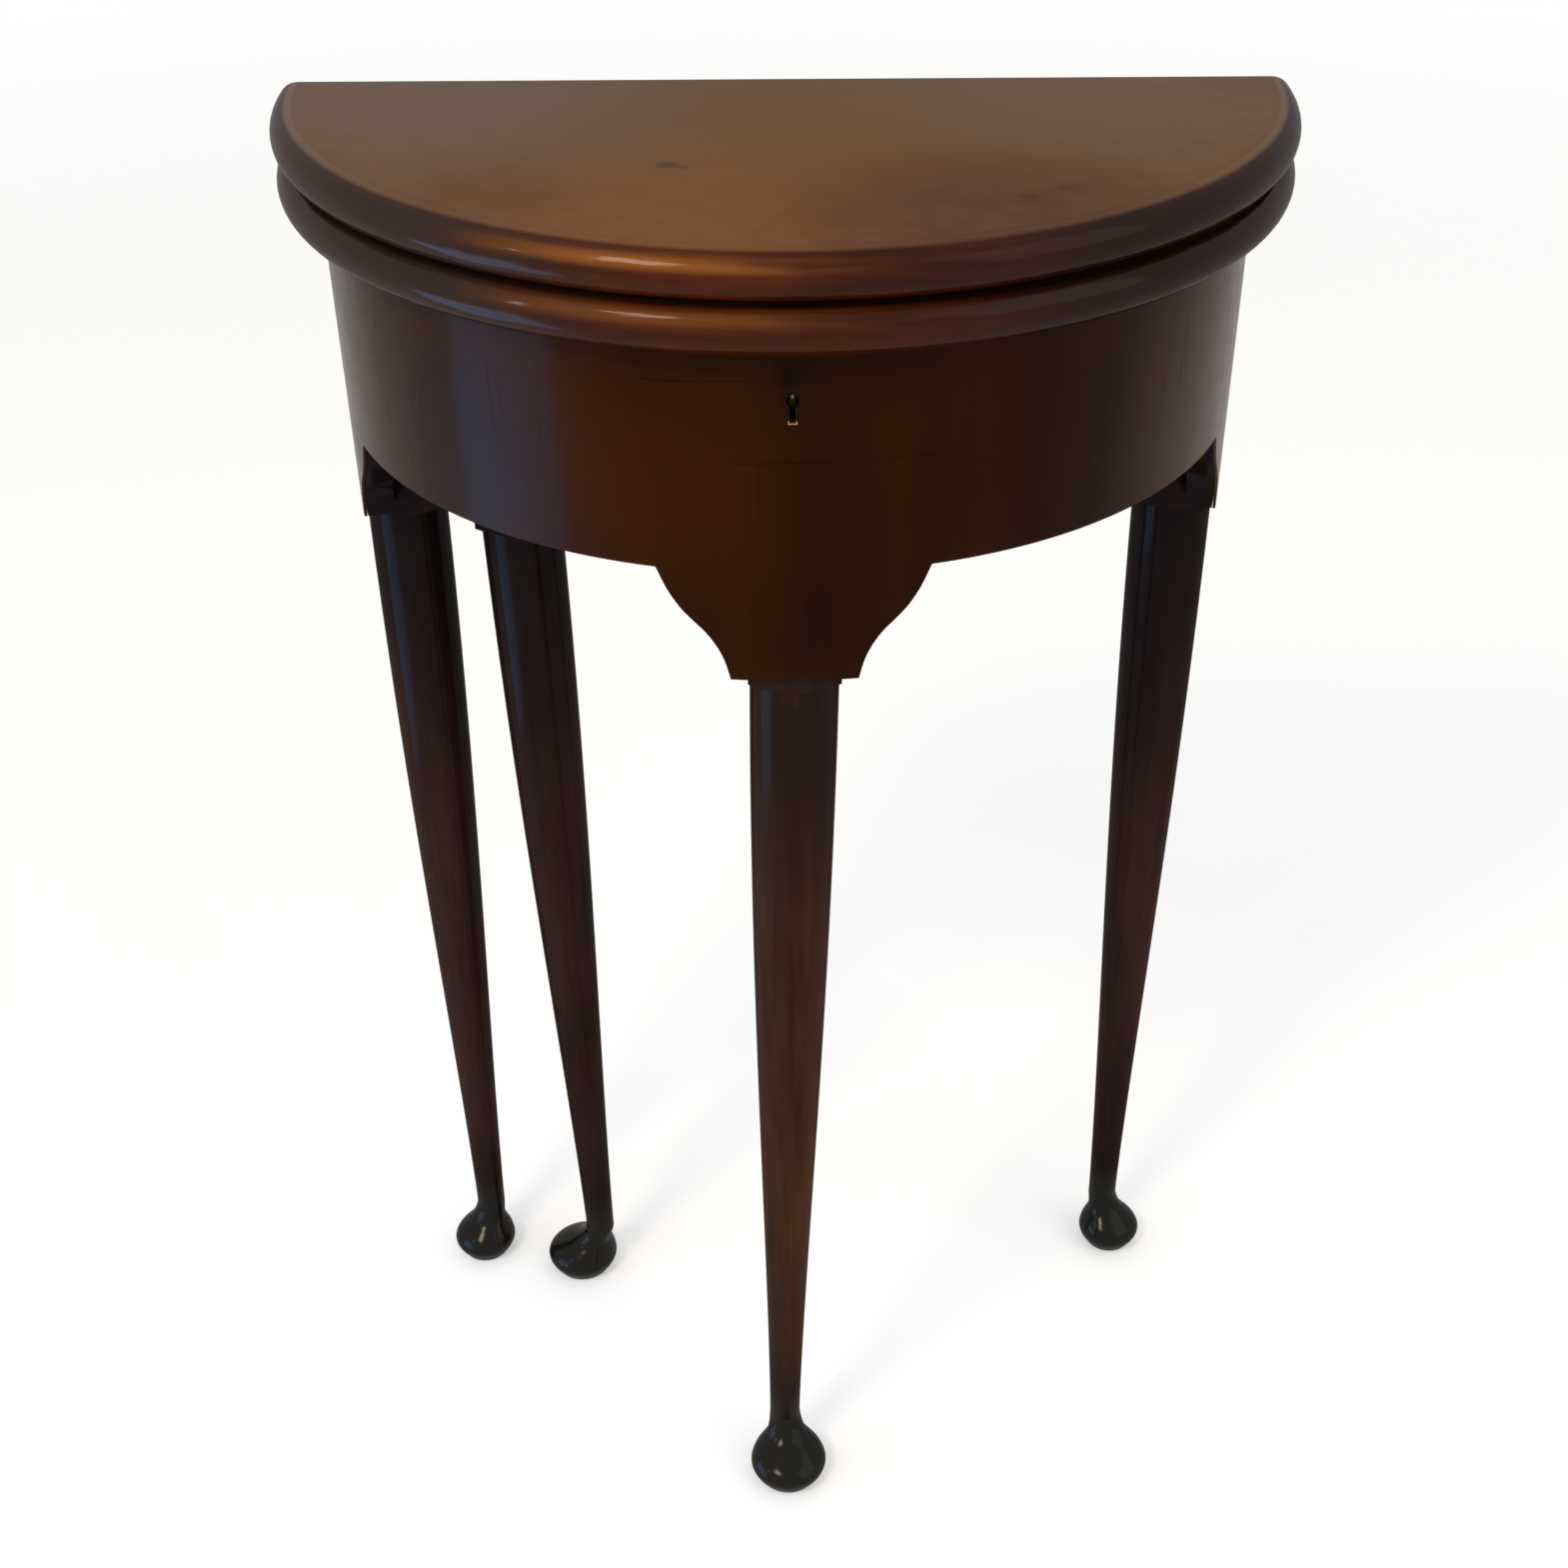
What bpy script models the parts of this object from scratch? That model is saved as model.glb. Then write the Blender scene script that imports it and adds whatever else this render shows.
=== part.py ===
"""Half-round fold-over tea table.

Two half-round leaves lie one on the other. The upper leaf folds back on hinges to make a round top,
carried by a swinging gate leg, and the lower leaf lifts as the lid of a storage well with a lock.
The curved frieze has an ogee drop over each leg, and the turned legs end in offset pad feet.

Units are metres. +X is to the right, +Y is to the back and +Z is up. The parts are laid out with y = 0 at
the leaves' straight back edge, and the finished table is moved so that its origin lies on the floor, under
the middle of its bounds.
"""

import math

import bmesh
import bpy
import numpy
from mathutils import Matrix, Vector

# Overall form
TABLE_HEIGHT = 0.747
TOP_RADIUS = 0.242
LEAF_THICKNESS = 0.0215
LEAF_GAP = 0.0004
SEAT_GAP = 0.0003
RUN_GAP = 0.0005
OVERRUN = 0.01
MERGE_DISTANCE = 0.00001
SHARP_DEGREES = 35
TOP_STEPS = 48
NOSE_STEPS = 6

# Frieze
TOP_OVERHANG = 0.0148
FRIEZE_RADIUS = TOP_RADIUS - TOP_OVERHANG
FRIEZE_SQUEEZE = 0.984
FRIEZE_HEIGHT = 0.1
VENEER_THICKNESS = 0.0015
CORE_THICKNESS = 0.016
BACK_INSET = 0.0018
DROP_DEPTH = 0.0528
DROP_FLAT_HALF = 0.029
DROP_FLARE = 0.0325
REAR_DROP_FORWARD = 0.0085
# Share of the way in from the drop's outer end, and share of its depth reached there
OGEE_SHARES = (
    (0, 0),
    (0.15, 0.195),
    (0.32, 0.35),
    (0.5, 0.465),
    (0.66, 0.56),
    (0.79, 0.665),
    (0.88, 0.765),
    (0.94, 0.86),
    (1, 1),
)
EAR_THICKNESS = 0.014
EAR_TIP_SHARE = 0.04
FRIEZE_STEPS = 48
FLAT_STEPS = 4

# Legs
BLOCK_WIDTH = 0.042
BLOCK_REVEAL = 0.0085
SHOULDER_RISE = 0.01
SHOULDER_TAIL = 0.004
ENVELOPE_RADIUS = 0.0375
LEG_TOP_RADIUS = 0.0205
ANKLE_RADIUS = 0.0088
ANKLE_HEIGHT = 0.037
LEG_TAPER_POWER = 1.38
PAD_RADIUS = 0.0222
REAR_PAD_RADIUS = 0.0195
PAD_HEIGHT = 0.0116
PAD_UNDERCUT = 0.005
# Share of the way out from the ankle to the pad's rim, and share of the way down to it
INSTEP_SHARES = (
    (0.06, 0.256),
    (0.216, 0.465),
    (0.522, 0.63),
    (0.843, 0.807),
    (1, 1),
)
# Share of the undercut from the rim to the sole, and share of the rim's height left
SOLE_SHARES = (
    (0.18, 0.62),
    (0.64, 0.26),
    (1, 0),
)
REAR_LEG_INSET = 0.0233
REAR_LEG_X = FRIEZE_RADIUS * FRIEZE_SQUEEZE - REAR_LEG_INSET
GATE_LEG_SPACING = 0.062
GATE_LEG_X = GATE_LEG_SPACING - REAR_LEG_X
HEAD_THICKNESS = 0.02
LEG_SIDES = 24
SHAFT_ROWS = 9

# How far each leg's ankle and pad stand off the centre of its block, to the right and to the back
FRONT_ANKLE_SHIFT = (-0.0096, 0.0)
FRONT_PAD_SHIFT = (-0.0078, -0.0155)
REAR_ANKLE_OUT = 0.0028
REAR_PAD_OUT = 0.008
REAR_PAD_FORWARD = 0.0073
GATE_ANKLE_SHIFT = (0.009, 0.0)
GATE_PAD_SHIFT = (-0.004, 0.002)

# Back rails and gate
INNER_RAIL_THICKNESS = 0.016
SWING_RAIL_THICKNESS = 0.0166
RAIL_TOP_DROP = 0.0015
RAIL_LIFT = 0.003
HINGE_X = 0.05
KNUCKLE_COUNT = 5
PIVOT_RADIUS = 0.0025
PIVOT_HEAD_RADIUS = 0.0045
PIVOT_HEAD_THICKNESS = 0.001
PIVOT_CLEARANCE = 0.0002
ROUND_SIDES = 20
TENON_THICKNESS = 0.006
TENON_LENGTH = 0.022
TENON_SHOULDER = 0.009
PEG_RADIUS = 0.003

# Storage well
BOARD_THICKNESS = 0.006
REBATE_DEPTH = 0.006

# Hinges of the leaves
LEAF_HINGE_INSET = 0.117
LEAF_HINGE_X = TOP_RADIUS - LEAF_HINGE_INSET
LEAF_HINGE_WIDTH = 0.036
LEAF_PLATE_HEIGHT = 0.0095
LEAF_BARREL_RADIUS = 0.0021
LEAF_PIN_RADIUS = 0.0009
LID_HINGE_WIDTH = 0.034
LID_PLATE_HEIGHT = 0.013
FRAME_PLATE_HEIGHT = 0.021
LID_BARREL_RADIUS = 0.0024
LID_PIN_RADIUS = 0.0011
PLATE_THICKNESS = 0.0014
PLATE_RECESS = 0.0001
HINGE_SIDES = 12

# Screws
SCREW_HEAD_RADIUS = 0.0017
SCREW_HEAD_DEPTH = 0.0011
SCREW_RADIUS = 0.001
SCREW_LENGTH = 0.009
RAIL_SCREW_HEAD_RADIUS = 0.0042
RAIL_SCREW_HEAD_DEPTH = 0.0025
RAIL_SCREW_RADIUS = 0.0022
RAIL_SCREW_LENGTH = 0.026
LOCK_SCREW_HEAD_RADIUS = 0.0013
LOCK_SCREW_HEAD_DEPTH = 0.0009
LOCK_SCREW_RADIUS = 0.0007
LOCK_SCREW_LENGTH = 0.006
SCREW_SIDES = 10

# Lock
KEY_AXIS_DROP = 0.0216
KEYHOLE_RADIUS = 0.0029
KEYHOLE_SLOT_HALF = 0.0014
KEYHOLE_SLOT_LENGTH = 0.0095
LINING_WALL = 0.0006
LINING_DEPTH = 0.004
KEY_PIN_RADIUS = 0.0011
KEY_PIN_LENGTH = 0.017
LOCK_WALL = 0.0012
LOCK_CASE_HALF_WIDTH = 0.0142
LOCK_PLATE_HALF_WIDTH = 0.019
LOCK_CASE_HEIGHT = 0.037
LOCK_CASE_DEPTH = 0.0106
LUG_X = -0.0088
LUG_HALF_THICKNESS = 0.0015
LUG_HALF_WIDTH = 0.0036
LUG_LENGTH = 0.0115
LUG_WALL = 0.0014
LINK_PLATE_HALF_LENGTH = 0.012
LINK_PLATE_HALF_WIDTH = 0.0046
LINK_PLATE_THICKNESS = 0.0012
BOLT_HALF_THICKNESS = 0.0017
BOLT_HALF_HEIGHT = 0.0018
BOLT_LENGTH = 0.0192
TAIL_WIDTH = 0.0075
TAIL_SETBACK = 0.0055
TALON_RADIUS = 0.0022
TUMBLER_THICKNESS = 0.0014
TUMBLER_STUD_RADIUS = 0.0012
TUMBLER_HUB_RADIUS = 0.0026
TUMBLER_ARM_LENGTH = 0.0165
TUMBLER_ARM_HALF_HEIGHT = 0.0015
TUMBLER_X = 0.0095

# Heights
UPPER_BOTTOM = TABLE_HEIGHT - LEAF_THICKNESS
LOWER_TOP = UPPER_BOTTOM - LEAF_GAP
LOWER_BOTTOM = LOWER_TOP - LEAF_THICKNESS
FRAME_TOP = LOWER_BOTTOM - SEAT_GAP
FRIEZE_BOTTOM = FRAME_TOP - FRIEZE_HEIGHT
SHOULDER = FRIEZE_BOTTOM - DROP_DEPTH - BLOCK_REVEAL
RAIL_TOP = FRAME_TOP - RAIL_TOP_DROP
RAIL_BOTTOM = FRIEZE_BOTTOM + RAIL_LIFT
BOARD_BOTTOM = FRIEZE_BOTTOM + SEAT_GAP
BOARD_TOP = BOARD_BOTTOM + BOARD_THICKNESS
FOLD_Z = LOWER_TOP + LEAF_GAP / 2

# Radii of the frieze's layers
VENEER_INNER = FRIEZE_RADIUS - VENEER_THICKNESS
CORE_OUTER = VENEER_INNER - SEAT_GAP
CORE_INNER = CORE_OUTER - CORE_THICKNESS
WELL_RADIUS = CORE_INNER - SEAT_GAP

# Places from front to back
BLOCK_HALF = BLOCK_WIDTH / 2
REAR_LEG_BACK = -BACK_INSET
REAR_LEG_Y = REAR_LEG_BACK - BLOCK_HALF
REAR_LEG_FRONT = REAR_LEG_BACK - BLOCK_WIDTH
INNER_RAIL_BACK = REAR_LEG_FRONT - SEAT_GAP
INNER_RAIL_FRONT = INNER_RAIL_BACK - INNER_RAIL_THICKNESS
SWING_RAIL_FRONT = INNER_RAIL_BACK + RUN_GAP
SWING_RAIL_BACK = SWING_RAIL_FRONT + SWING_RAIL_THICKNESS
HINGE_Y = (SWING_RAIL_FRONT + SWING_RAIL_BACK) / 2
GATE_LEG_Y = SWING_RAIL_BACK - BLOCK_HALF
FRONT_BLOCK_BACK = BLOCK_WIDTH - CORE_OUTER
FRONT_LEG_Y = FRONT_BLOCK_BACK - BLOCK_HALF
HEAD_BACK = HEAD_THICKNESS - CORE_OUTER

# Axes of the leaves' hinges
FOLD_Y = LEAF_GAP / 2
LID_AXIS_Z = LOWER_BOTTOM - SEAT_GAP - LID_BARREL_RADIUS
LID_AXIS_Y = LID_BARREL_RADIUS - PLATE_THICKNESS / 2 - PLATE_RECESS

# How far back the finished table moves to centre its bounds on the origin
CENTRE_SHIFT = (TOP_RADIUS - LID_AXIS_Y - LID_BARREL_RADIUS) / 2

# Places of the lock
KEY_Z = FRAME_TOP - KEY_AXIS_DROP
LOCK_BACK = HEAD_BACK
LOCK_FRONT = LOCK_BACK - LOCK_CASE_DEPTH
LOCK_PLATE_FRONT = LOCK_BACK - LOCK_WALL
LOCK_MID = (LOCK_FRONT + LOCK_PLATE_FRONT) / 2
LOCK_BOTTOM = FRAME_TOP - LOCK_CASE_HEIGHT
LUG_BOTTOM = LOWER_BOTTOM - LUG_LENGTH
EYE_BOTTOM = LUG_BOTTOM + LUG_WALL
BOLT_Z = EYE_BOTTOM + RUN_GAP + BOLT_HALF_HEIGHT
EYE_TOP = BOLT_Z + BOLT_HALF_HEIGHT + RUN_GAP
BOLT_NOSE = LUG_X + LUG_HALF_THICKNESS + RUN_GAP
TUMBLER_Z = KEY_Z + KEY_PIN_RADIUS + RUN_GAP + TUMBLER_ARM_HALF_HEIGHT
TAIL_BOTTOM = KEY_Z + KEY_PIN_RADIUS + RUN_GAP

# Finishes: colour, roughness and metallic value
FINISHES = {
    "mahogany_top": ((0.21, 0.1, 0.055), 0.28, 0.0),
    "mahogany_frieze": ((0.085, 0.03, 0.016), 0.25, 0.0),
    "mahogany_leg": ((0.03, 0.012, 0.009), 0.22, 0.0),
    "mahogany_rail": ((0.16, 0.07, 0.035), 0.5, 0.0),
    "deal": ((0.4, 0.27, 0.15), 0.7, 0.0),
    "brass": ((0.62, 0.45, 0.2), 0.38, 1.0),
    "iron": ((0.2, 0.2, 0.21), 0.45, 1.0),
}


def clear_scene():
    """Remove the objects that the scene starts with."""
    for old in list(bpy.data.objects):
        bpy.data.objects.remove(old, do_unlink=True)


def make_collection(name):
    """Return a new collection linked to the scene."""
    collection = bpy.data.collections.new(name)
    bpy.context.scene.collection.children.link(collection)
    return collection


clear_scene()
PARTS = make_collection("fold_over_tea_table")
CUTTERS = make_collection("cutters")


def make_finish(name):
    """Return the material of one finish, made once."""
    if name in bpy.data.materials:
        return bpy.data.materials[name]
    colour, roughness, metallic = FINISHES[name]
    material = bpy.data.materials.new(name)
    material.use_nodes = True
    shader = material.node_tree.nodes["Principled BSDF"]
    shader.inputs["Base Color"].default_value = (*colour, 1)
    shader.inputs["Roughness"].default_value = roughness
    shader.inputs["Metallic"].default_value = metallic
    return material


def add_object(name, mesh, place=(0, 0, 0)):
    """Link an object with this mesh to the cutters, where it stays until finish_part takes it."""
    found = bpy.data.objects.new(name, mesh)
    found.location = place
    found.hide_render = True
    found.display_type = "WIRE"
    CUTTERS.objects.link(found)
    return found


def finish_part(part, name, finish):
    """Make an object a named part with a finish."""
    CUTTERS.objects.unlink(part)
    PARTS.objects.link(part)
    part.name = name
    part.hide_render = False
    part.display_type = "TEXTURED"
    part.data.materials.append(make_finish(finish))
    return part


def from_bmesh(name, bm, place=(0, 0, 0)):
    """Turn a bmesh into an object."""
    bmesh.ops.recalc_face_normals(bm, faces=bm.faces)
    mesh = bpy.data.meshes.new(name)
    bm.to_mesh(mesh)
    bm.free()
    return add_object(name, mesh, place)


def box(name, x_range, y_range, z_range):
    """Return a box between the given ends, with its origin at its centre."""
    low = Vector((x_range[0], y_range[0], z_range[0]))
    high = Vector((x_range[1], y_range[1], z_range[1]))
    bm = bmesh.new()
    bmesh.ops.create_cube(bm, size=1)
    bmesh.ops.scale(bm, vec=high - low, verts=bm.verts)
    return from_bmesh(name, bm, (low + high) / 2)


def rod(name, start, direction, length, radius, sides=ROUND_SIDES):
    """Return a round rod that runs from start along a direction, with its origin at start."""
    bm = bmesh.new()
    bmesh.ops.create_cone(
        bm, cap_ends=True, segments=sides, radius1=radius, radius2=radius, depth=length
    )
    bmesh.ops.translate(bm, vec=(0, 0, length / 2), verts=bm.verts)
    turn = Vector((0, 0, 1)).rotation_difference(Vector(direction)).to_matrix()
    bmesh.ops.rotate(bm, matrix=turn, verts=bm.verts)
    made = from_bmesh(name, bm, start)
    shade_round(made)
    return made


def shade_round(part):
    """Shade the round faces of a part smooth and keep its edges sharp."""
    part.data.shade_smooth()
    part.data.set_sharp_from_angle(angle=math.radians(SHARP_DEGREES))


def turned(name, profile, steps, place=(0, 0, 0), sweep=math.tau, closed=False):
    """Return a profile of (radius, height) points turned about Z by a Screw modifier, as a closed mesh.

    The profile runs down its outer side from top to bottom. A part turn starts at +X.
    """
    mesh = bpy.data.meshes.new(name + "_profile")
    points = [(radius, 0, height) for radius, height in profile]
    edges = [(i, i + 1) for i in range(len(points) - 1)]
    if closed:
        edges.append((len(points) - 1, 0))
    mesh.from_pydata(points, edges, [])
    outline = add_object(name + "_profile", mesh)
    screw = outline.modifiers.new("turn", "SCREW")
    screw.axis = "Z"
    screw.angle = sweep
    screw.steps = steps
    screw.render_steps = steps
    screw.use_merge_vertices = True
    screw.merge_threshold = MERGE_DISTANCE
    bm = bmesh.new()
    bm.from_mesh(evaluated_mesh(outline))
    bpy.data.objects.remove(outline)
    bmesh.ops.remove_doubles(bm, verts=bm.verts, dist=MERGE_DISTANCE)
    if sweep < math.tau:
        ends = [edge for edge in bm.edges if edge.is_boundary]
        bmesh.ops.holes_fill(bm, edges=ends, sides=len(bm.edges))
    made = from_bmesh(name, bm, place)
    shade_round(made)
    return made


def evaluated_mesh(part):
    """Return a new mesh of the object with its modifiers done."""
    graph = bpy.context.evaluated_depsgraph_get()
    return bpy.data.meshes.new_from_object(part.evaluated_get(graph))


def settle(part):
    """Replace a part's mesh by its evaluated mesh and drop its modifiers."""
    mesh = evaluated_mesh(part)
    part.modifiers.clear()
    part.data = mesh
    return part


def combine(part, others, operation):
    """Join, cut or intersect a part with others, which are used up."""
    for other in others:
        step = part.modifiers.new(operation.lower(), "BOOLEAN")
        step.operation = operation
        step.solver = "EXACT"
        step.object = other
        settle(part)
        bpy.data.objects.remove(other)
    return part


def cut(part, *cutters):
    """Cut the cutters away from a part."""
    return combine(part, cutters, "DIFFERENCE")


def join(part, *others):
    """Join the others to a part."""
    return combine(part, others, "UNION")


def keep_inside(part, *others):
    """Keep what of a part lies inside the others."""
    return combine(part, others, "INTERSECT")


def finish_row(pieces, name, finish):
    """Make each of several like pieces a part, numbered from 1."""
    return [finish_part(piece, f"{name}_{number}", finish) for number, piece in enumerate(pieces, 1)]


def make_axis(name, place):
    """Return an empty that stands on a joint's axis."""
    axis = bpy.data.objects.new(name, None)
    axis.location = place
    PARTS.objects.link(axis)
    return axis


def hang_on(axis, *parts):
    """Parent parts to a joint's axis and leave them where they are."""
    for part in parts:
        part.parent = axis
        part.location = part.location - axis.location


def spread(low, high, count):
    """Return count + 1 evenly spaced values from low to high."""
    return [low + (high - low) * i / count for i in range(count + 1)]


def beyond(value):
    """Return the place one overrun past a value, away from zero."""
    return value + math.copysign(OVERRUN, value)


# Outline of the frieze

def squeeze(part):
    """Narrow a part of the frieze from side to side, so that it stands further inside the leaves there."""
    part.data.transform(Matrix.Scale(FRIEZE_SQUEEZE, 4, (1, 0, 0)))
    return part


REAR_DROP_ANGLE = math.acos(-REAR_LEG_Y / CORE_OUTER) - REAR_DROP_FORWARD / FRIEZE_RADIUS
DROP_ANGLES = (-REAR_DROP_ANGLE, 0.0, REAR_DROP_ANGLE)
FRIEZE_END_ANGLE = math.acos(BACK_INSET / FRIEZE_RADIUS)


def edge_fall(angle):
    """Return how far the frieze's lower edge hangs below its straight line at an angle from the front."""
    reach = min(abs(angle - middle) for middle in DROP_ANGLES) * FRIEZE_RADIUS
    inward = (DROP_FLAT_HALF + DROP_FLARE - reach) / DROP_FLARE
    return DROP_DEPTH * numpy.interp(inward, *zip(*OGEE_SHARES))


def drop_stations(middle, tip_share=0.0):
    """Return the angles across one drop: its flat bottom and the points of both ogees."""
    inward = [tip_share] + [share for share, fall in OGEE_SHARES if share > tip_share]
    reaches = [DROP_FLAT_HALF + DROP_FLARE * (1 - share) for share in inward]
    flat = spread(-DROP_FLAT_HALF, DROP_FLAT_HALF, FLAT_STEPS)[1:-1]
    return sorted(middle + reach / FRIEZE_RADIUS for reach in [*reaches, *flat, *(-r for r in reaches)])


def frieze_stations():
    """Return the angles of the veneer's columns, closer together over the drops."""
    angles = set(spread(-FRIEZE_END_ANGLE, FRIEZE_END_ANGLE, FRIEZE_STEPS))
    half = (DROP_FLAT_HALF + DROP_FLARE) / FRIEZE_RADIUS
    angles = {a for a in angles if min(abs(a - middle) for middle in DROP_ANGLES) > half}
    for middle in DROP_ANGLES:
        angles.update(a for a in drop_stations(middle) if abs(a) < FRIEZE_END_ANGLE)
    angles.update((-FRIEZE_END_ANGLE, FRIEZE_END_ANGLE))
    return sorted(angles)


def wrapped_panel(name, radius, thickness, stations, top):
    """Return a panel bent round the frieze's axis, with the frieze's lower edge, built inward."""
    bm = bmesh.new()
    columns = len(stations) - 1
    bmesh.ops.create_grid(bm, x_segments=columns, y_segments=1, size=1)
    for vert in bm.verts:
        angle = stations[round((vert.co.x + 1) / 2 * columns)]
        height = top if vert.co.y > 0 else FRIEZE_BOTTOM - edge_fall(angle)
        vert.co = (radius * math.sin(angle), -radius * math.cos(angle), height)
    mesh = bpy.data.meshes.new(name)
    bm.to_mesh(mesh)
    bm.free()
    panel = add_object(name, mesh)
    shell = panel.modifiers.new("shell", "SOLIDIFY")
    shell.thickness = thickness
    shell.offset = -1
    settle(panel)
    shade_round(panel)
    return squeeze(panel)


# Leaves

def half_round(name, radius, thickness, bottom, nose):
    """Return a half-round board with its straight side on y = 0, with a rounded edge where nose is True."""
    if nose:
        swell = thickness / 2
        turns = [math.pi / 2 - math.pi * i / NOSE_STEPS for i in range(NOSE_STEPS + 1)]
        rim = [(radius - swell + swell * math.cos(a), swell + swell * math.sin(a)) for a in turns]
    else:
        rim = [(radius, thickness), (radius, 0)]
    profile = [(0, thickness), *rim, (0, 0)]
    board = turned(name, profile, TOP_STEPS, (0, 0, bottom), sweep=math.pi)
    board.data.transform(Matrix.Rotation(math.pi, 4, "Z"))
    return board


def full_disc(name, radius, bottom, top):
    """Return an upright disc with the frieze's outline, as a cutter or an envelope."""
    steps = 2 * TOP_STEPS
    return squeeze(rod(name, (0, 0, bottom), (0, 0, 1), top - bottom, radius, steps))


def make_leaves():
    """Make the upper and the lower leaf, with the recesses of their hinges and of the link plate."""
    upper = half_round("upper", TOP_RADIUS, LEAF_THICKNESS, UPPER_BOTTOM, nose=True)
    lower = half_round("lower", TOP_RADIUS, LEAF_THICKNESS, LOWER_BOTTOM, nose=True)
    for side in (-1, 1):
        cut(upper, *leaf_hinge_recess(side, 1))
        cut(lower, *leaf_hinge_recess(side, -1))
        cut(lower, *lid_hinge_recess(side))
    for x, z in leaf_screw_places(1):
        cut(upper, screw_hole(x, z))
    for x, z in leaf_screw_places(-1) + lid_screw_places():
        cut(lower, screw_hole(x, z))
    cut(lower, *link_plate_recess())
    return (
        finish_part(upper, "upper_leaf", "mahogany_top"),
        finish_part(lower, "lower_leaf", "mahogany_top"),
    )


# Frieze

def make_frieze_rails():
    """Make the two curved rails, halved at the front leg and rebated for the well's board."""
    profile = [
        (CORE_INNER, FRAME_TOP),
        (CORE_OUTER, FRAME_TOP),
        (CORE_OUTER, FRIEZE_BOTTOM),
        (CORE_INNER, FRIEZE_BOTTOM),
    ]
    made = []
    slot = BLOCK_HALF + SEAT_GAP
    for side, name in ((-1, "frieze_rail_left"), (1, "frieze_rail_right")):
        rail = turned(name, profile, TOP_STEPS // 2, sweep=math.pi / 2, closed=True)
        start = math.pi if side < 0 else -math.pi / 2
        rail.data.transform(Matrix.Rotation(start, 4, "Z"))
        squeeze(rail)
        wide = beyond(CORE_OUTER)
        heights = (FRIEZE_BOTTOM - OVERRUN, FRAME_TOP + OVERRUN)
        cut(
            rail,
            box("front_slot", (-slot, slot), (-wide, OVERRUN), heights),
            box("rear_end", (-wide, wide), (INNER_RAIL_BACK, OVERRUN), heights),
            full_disc("rebate", CORE_INNER + REBATE_DEPTH, FRIEZE_BOTTOM - OVERRUN, BOARD_TOP + SEAT_GAP),
        )
        made.append(finish_part(rail, name, "deal"))
    return made


def make_veneer():
    """Make the veneer band with its three ogee drops and its keyhole."""
    band = wrapped_panel("veneer", FRIEZE_RADIUS, VENEER_THICKNESS, frieze_stations(), FRAME_TOP)
    cut(band, *keyhole_cutters(LINING_WALL + SEAT_GAP, -beyond(FRIEZE_RADIUS), -CORE_INNER))
    return finish_part(band, "frieze_veneer", "mahogany_frieze")


def make_ears():
    """Make the shaped ears under the rails, at both sides of the front leg and before the rear legs."""
    top = FRIEZE_BOTTOM - SEAT_GAP
    wide = beyond(CORE_OUTER)
    heights = (SHOULDER, beyond(FRIEZE_BOTTOM))
    slot = BLOCK_HALF + SEAT_GAP
    made = []
    for side, name in ((-1, "front_ear_left"), (1, "front_ear_right")):
        ear = wrapped_panel(
            name, CORE_OUTER, EAR_THICKNESS, drop_stations(DROP_ANGLES[1], EAR_TIP_SHARE), top
        )
        cut(ear, box("slot", sorted((side * slot, -side * wide)), (-wide, 0), heights))
        made.append(finish_part(ear, name, "mahogany_frieze"))
    for middle, name in ((DROP_ANGLES[0], "rear_ear_left"), (DROP_ANGLES[2], "rear_ear_right")):
        ear = wrapped_panel(name, CORE_OUTER, EAR_THICKNESS, drop_stations(middle, EAR_TIP_SHARE), top)
        cut(ear, box("rear_end", (-wide, wide), (INNER_RAIL_BACK, wide), heights))
        made.append(finish_part(ear, name, "mahogany_frieze"))
    return made


# Legs

def shaft_radius(share):
    """Return the radius of the turned shaft at a share of its height above the ankle."""
    swell = math.sin(math.pi / 2 * share) ** LEG_TAPER_POWER
    return ANKLE_RADIUS + (LEG_TOP_RADIUS - ANKLE_RADIUS) * swell


def leg_profile(pad_radius):
    """Return the turned outline from the top of the shaft to the floor, with a pad of this radius."""
    length = SHOULDER - ANKLE_HEIGHT
    points = [(0, SHOULDER + SHOULDER_TAIL), (LEG_TOP_RADIUS, SHOULDER + SHOULDER_TAIL)]
    for share in reversed(spread(0, 1, SHAFT_ROWS)):
        points.append((shaft_radius(share), ANKLE_HEIGHT + length * share))
    for out, down in INSTEP_SHARES:
        radius = ANKLE_RADIUS + (pad_radius - ANKLE_RADIUS) * out
        points.append((radius, ANKLE_HEIGHT + (PAD_HEIGHT - ANKLE_HEIGHT) * down))
    for under, left in SOLE_SHARES:
        points.append((pad_radius - PAD_UNDERCUT * under, PAD_HEIGHT * left))
    points.append((0, 0))
    return points


def leg_shift(height, ankle_shift, pad_shift):
    """Return how far the leg's centre stands off the block's centre at a height."""
    down = min(max((SHOULDER - height) / (SHOULDER - ANKLE_HEIGHT), 0), 1)
    foot = min(max((ANKLE_HEIGHT - height) / (ANKLE_HEIGHT - PAD_HEIGHT), 0), 1)
    ease = foot * foot * (3 - 2 * foot)
    return [a * down + (p - a) * ease for a, p in zip(ankle_shift, pad_shift)]


def turned_leg(name, place, ankle_shift, pad_shift, pad_radius=PAD_RADIUS):
    """Return the turned shaft and pad foot of a leg, with its centre line drawn to the ankle and the pad."""
    leg = turned(name, leg_profile(pad_radius), LEG_SIDES, (*place, 0))
    for vert in leg.data.vertices:
        x, y = leg_shift(vert.co.z, ankle_shift, pad_shift)
        vert.co.x += x
        vert.co.y += y
    return leg


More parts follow.
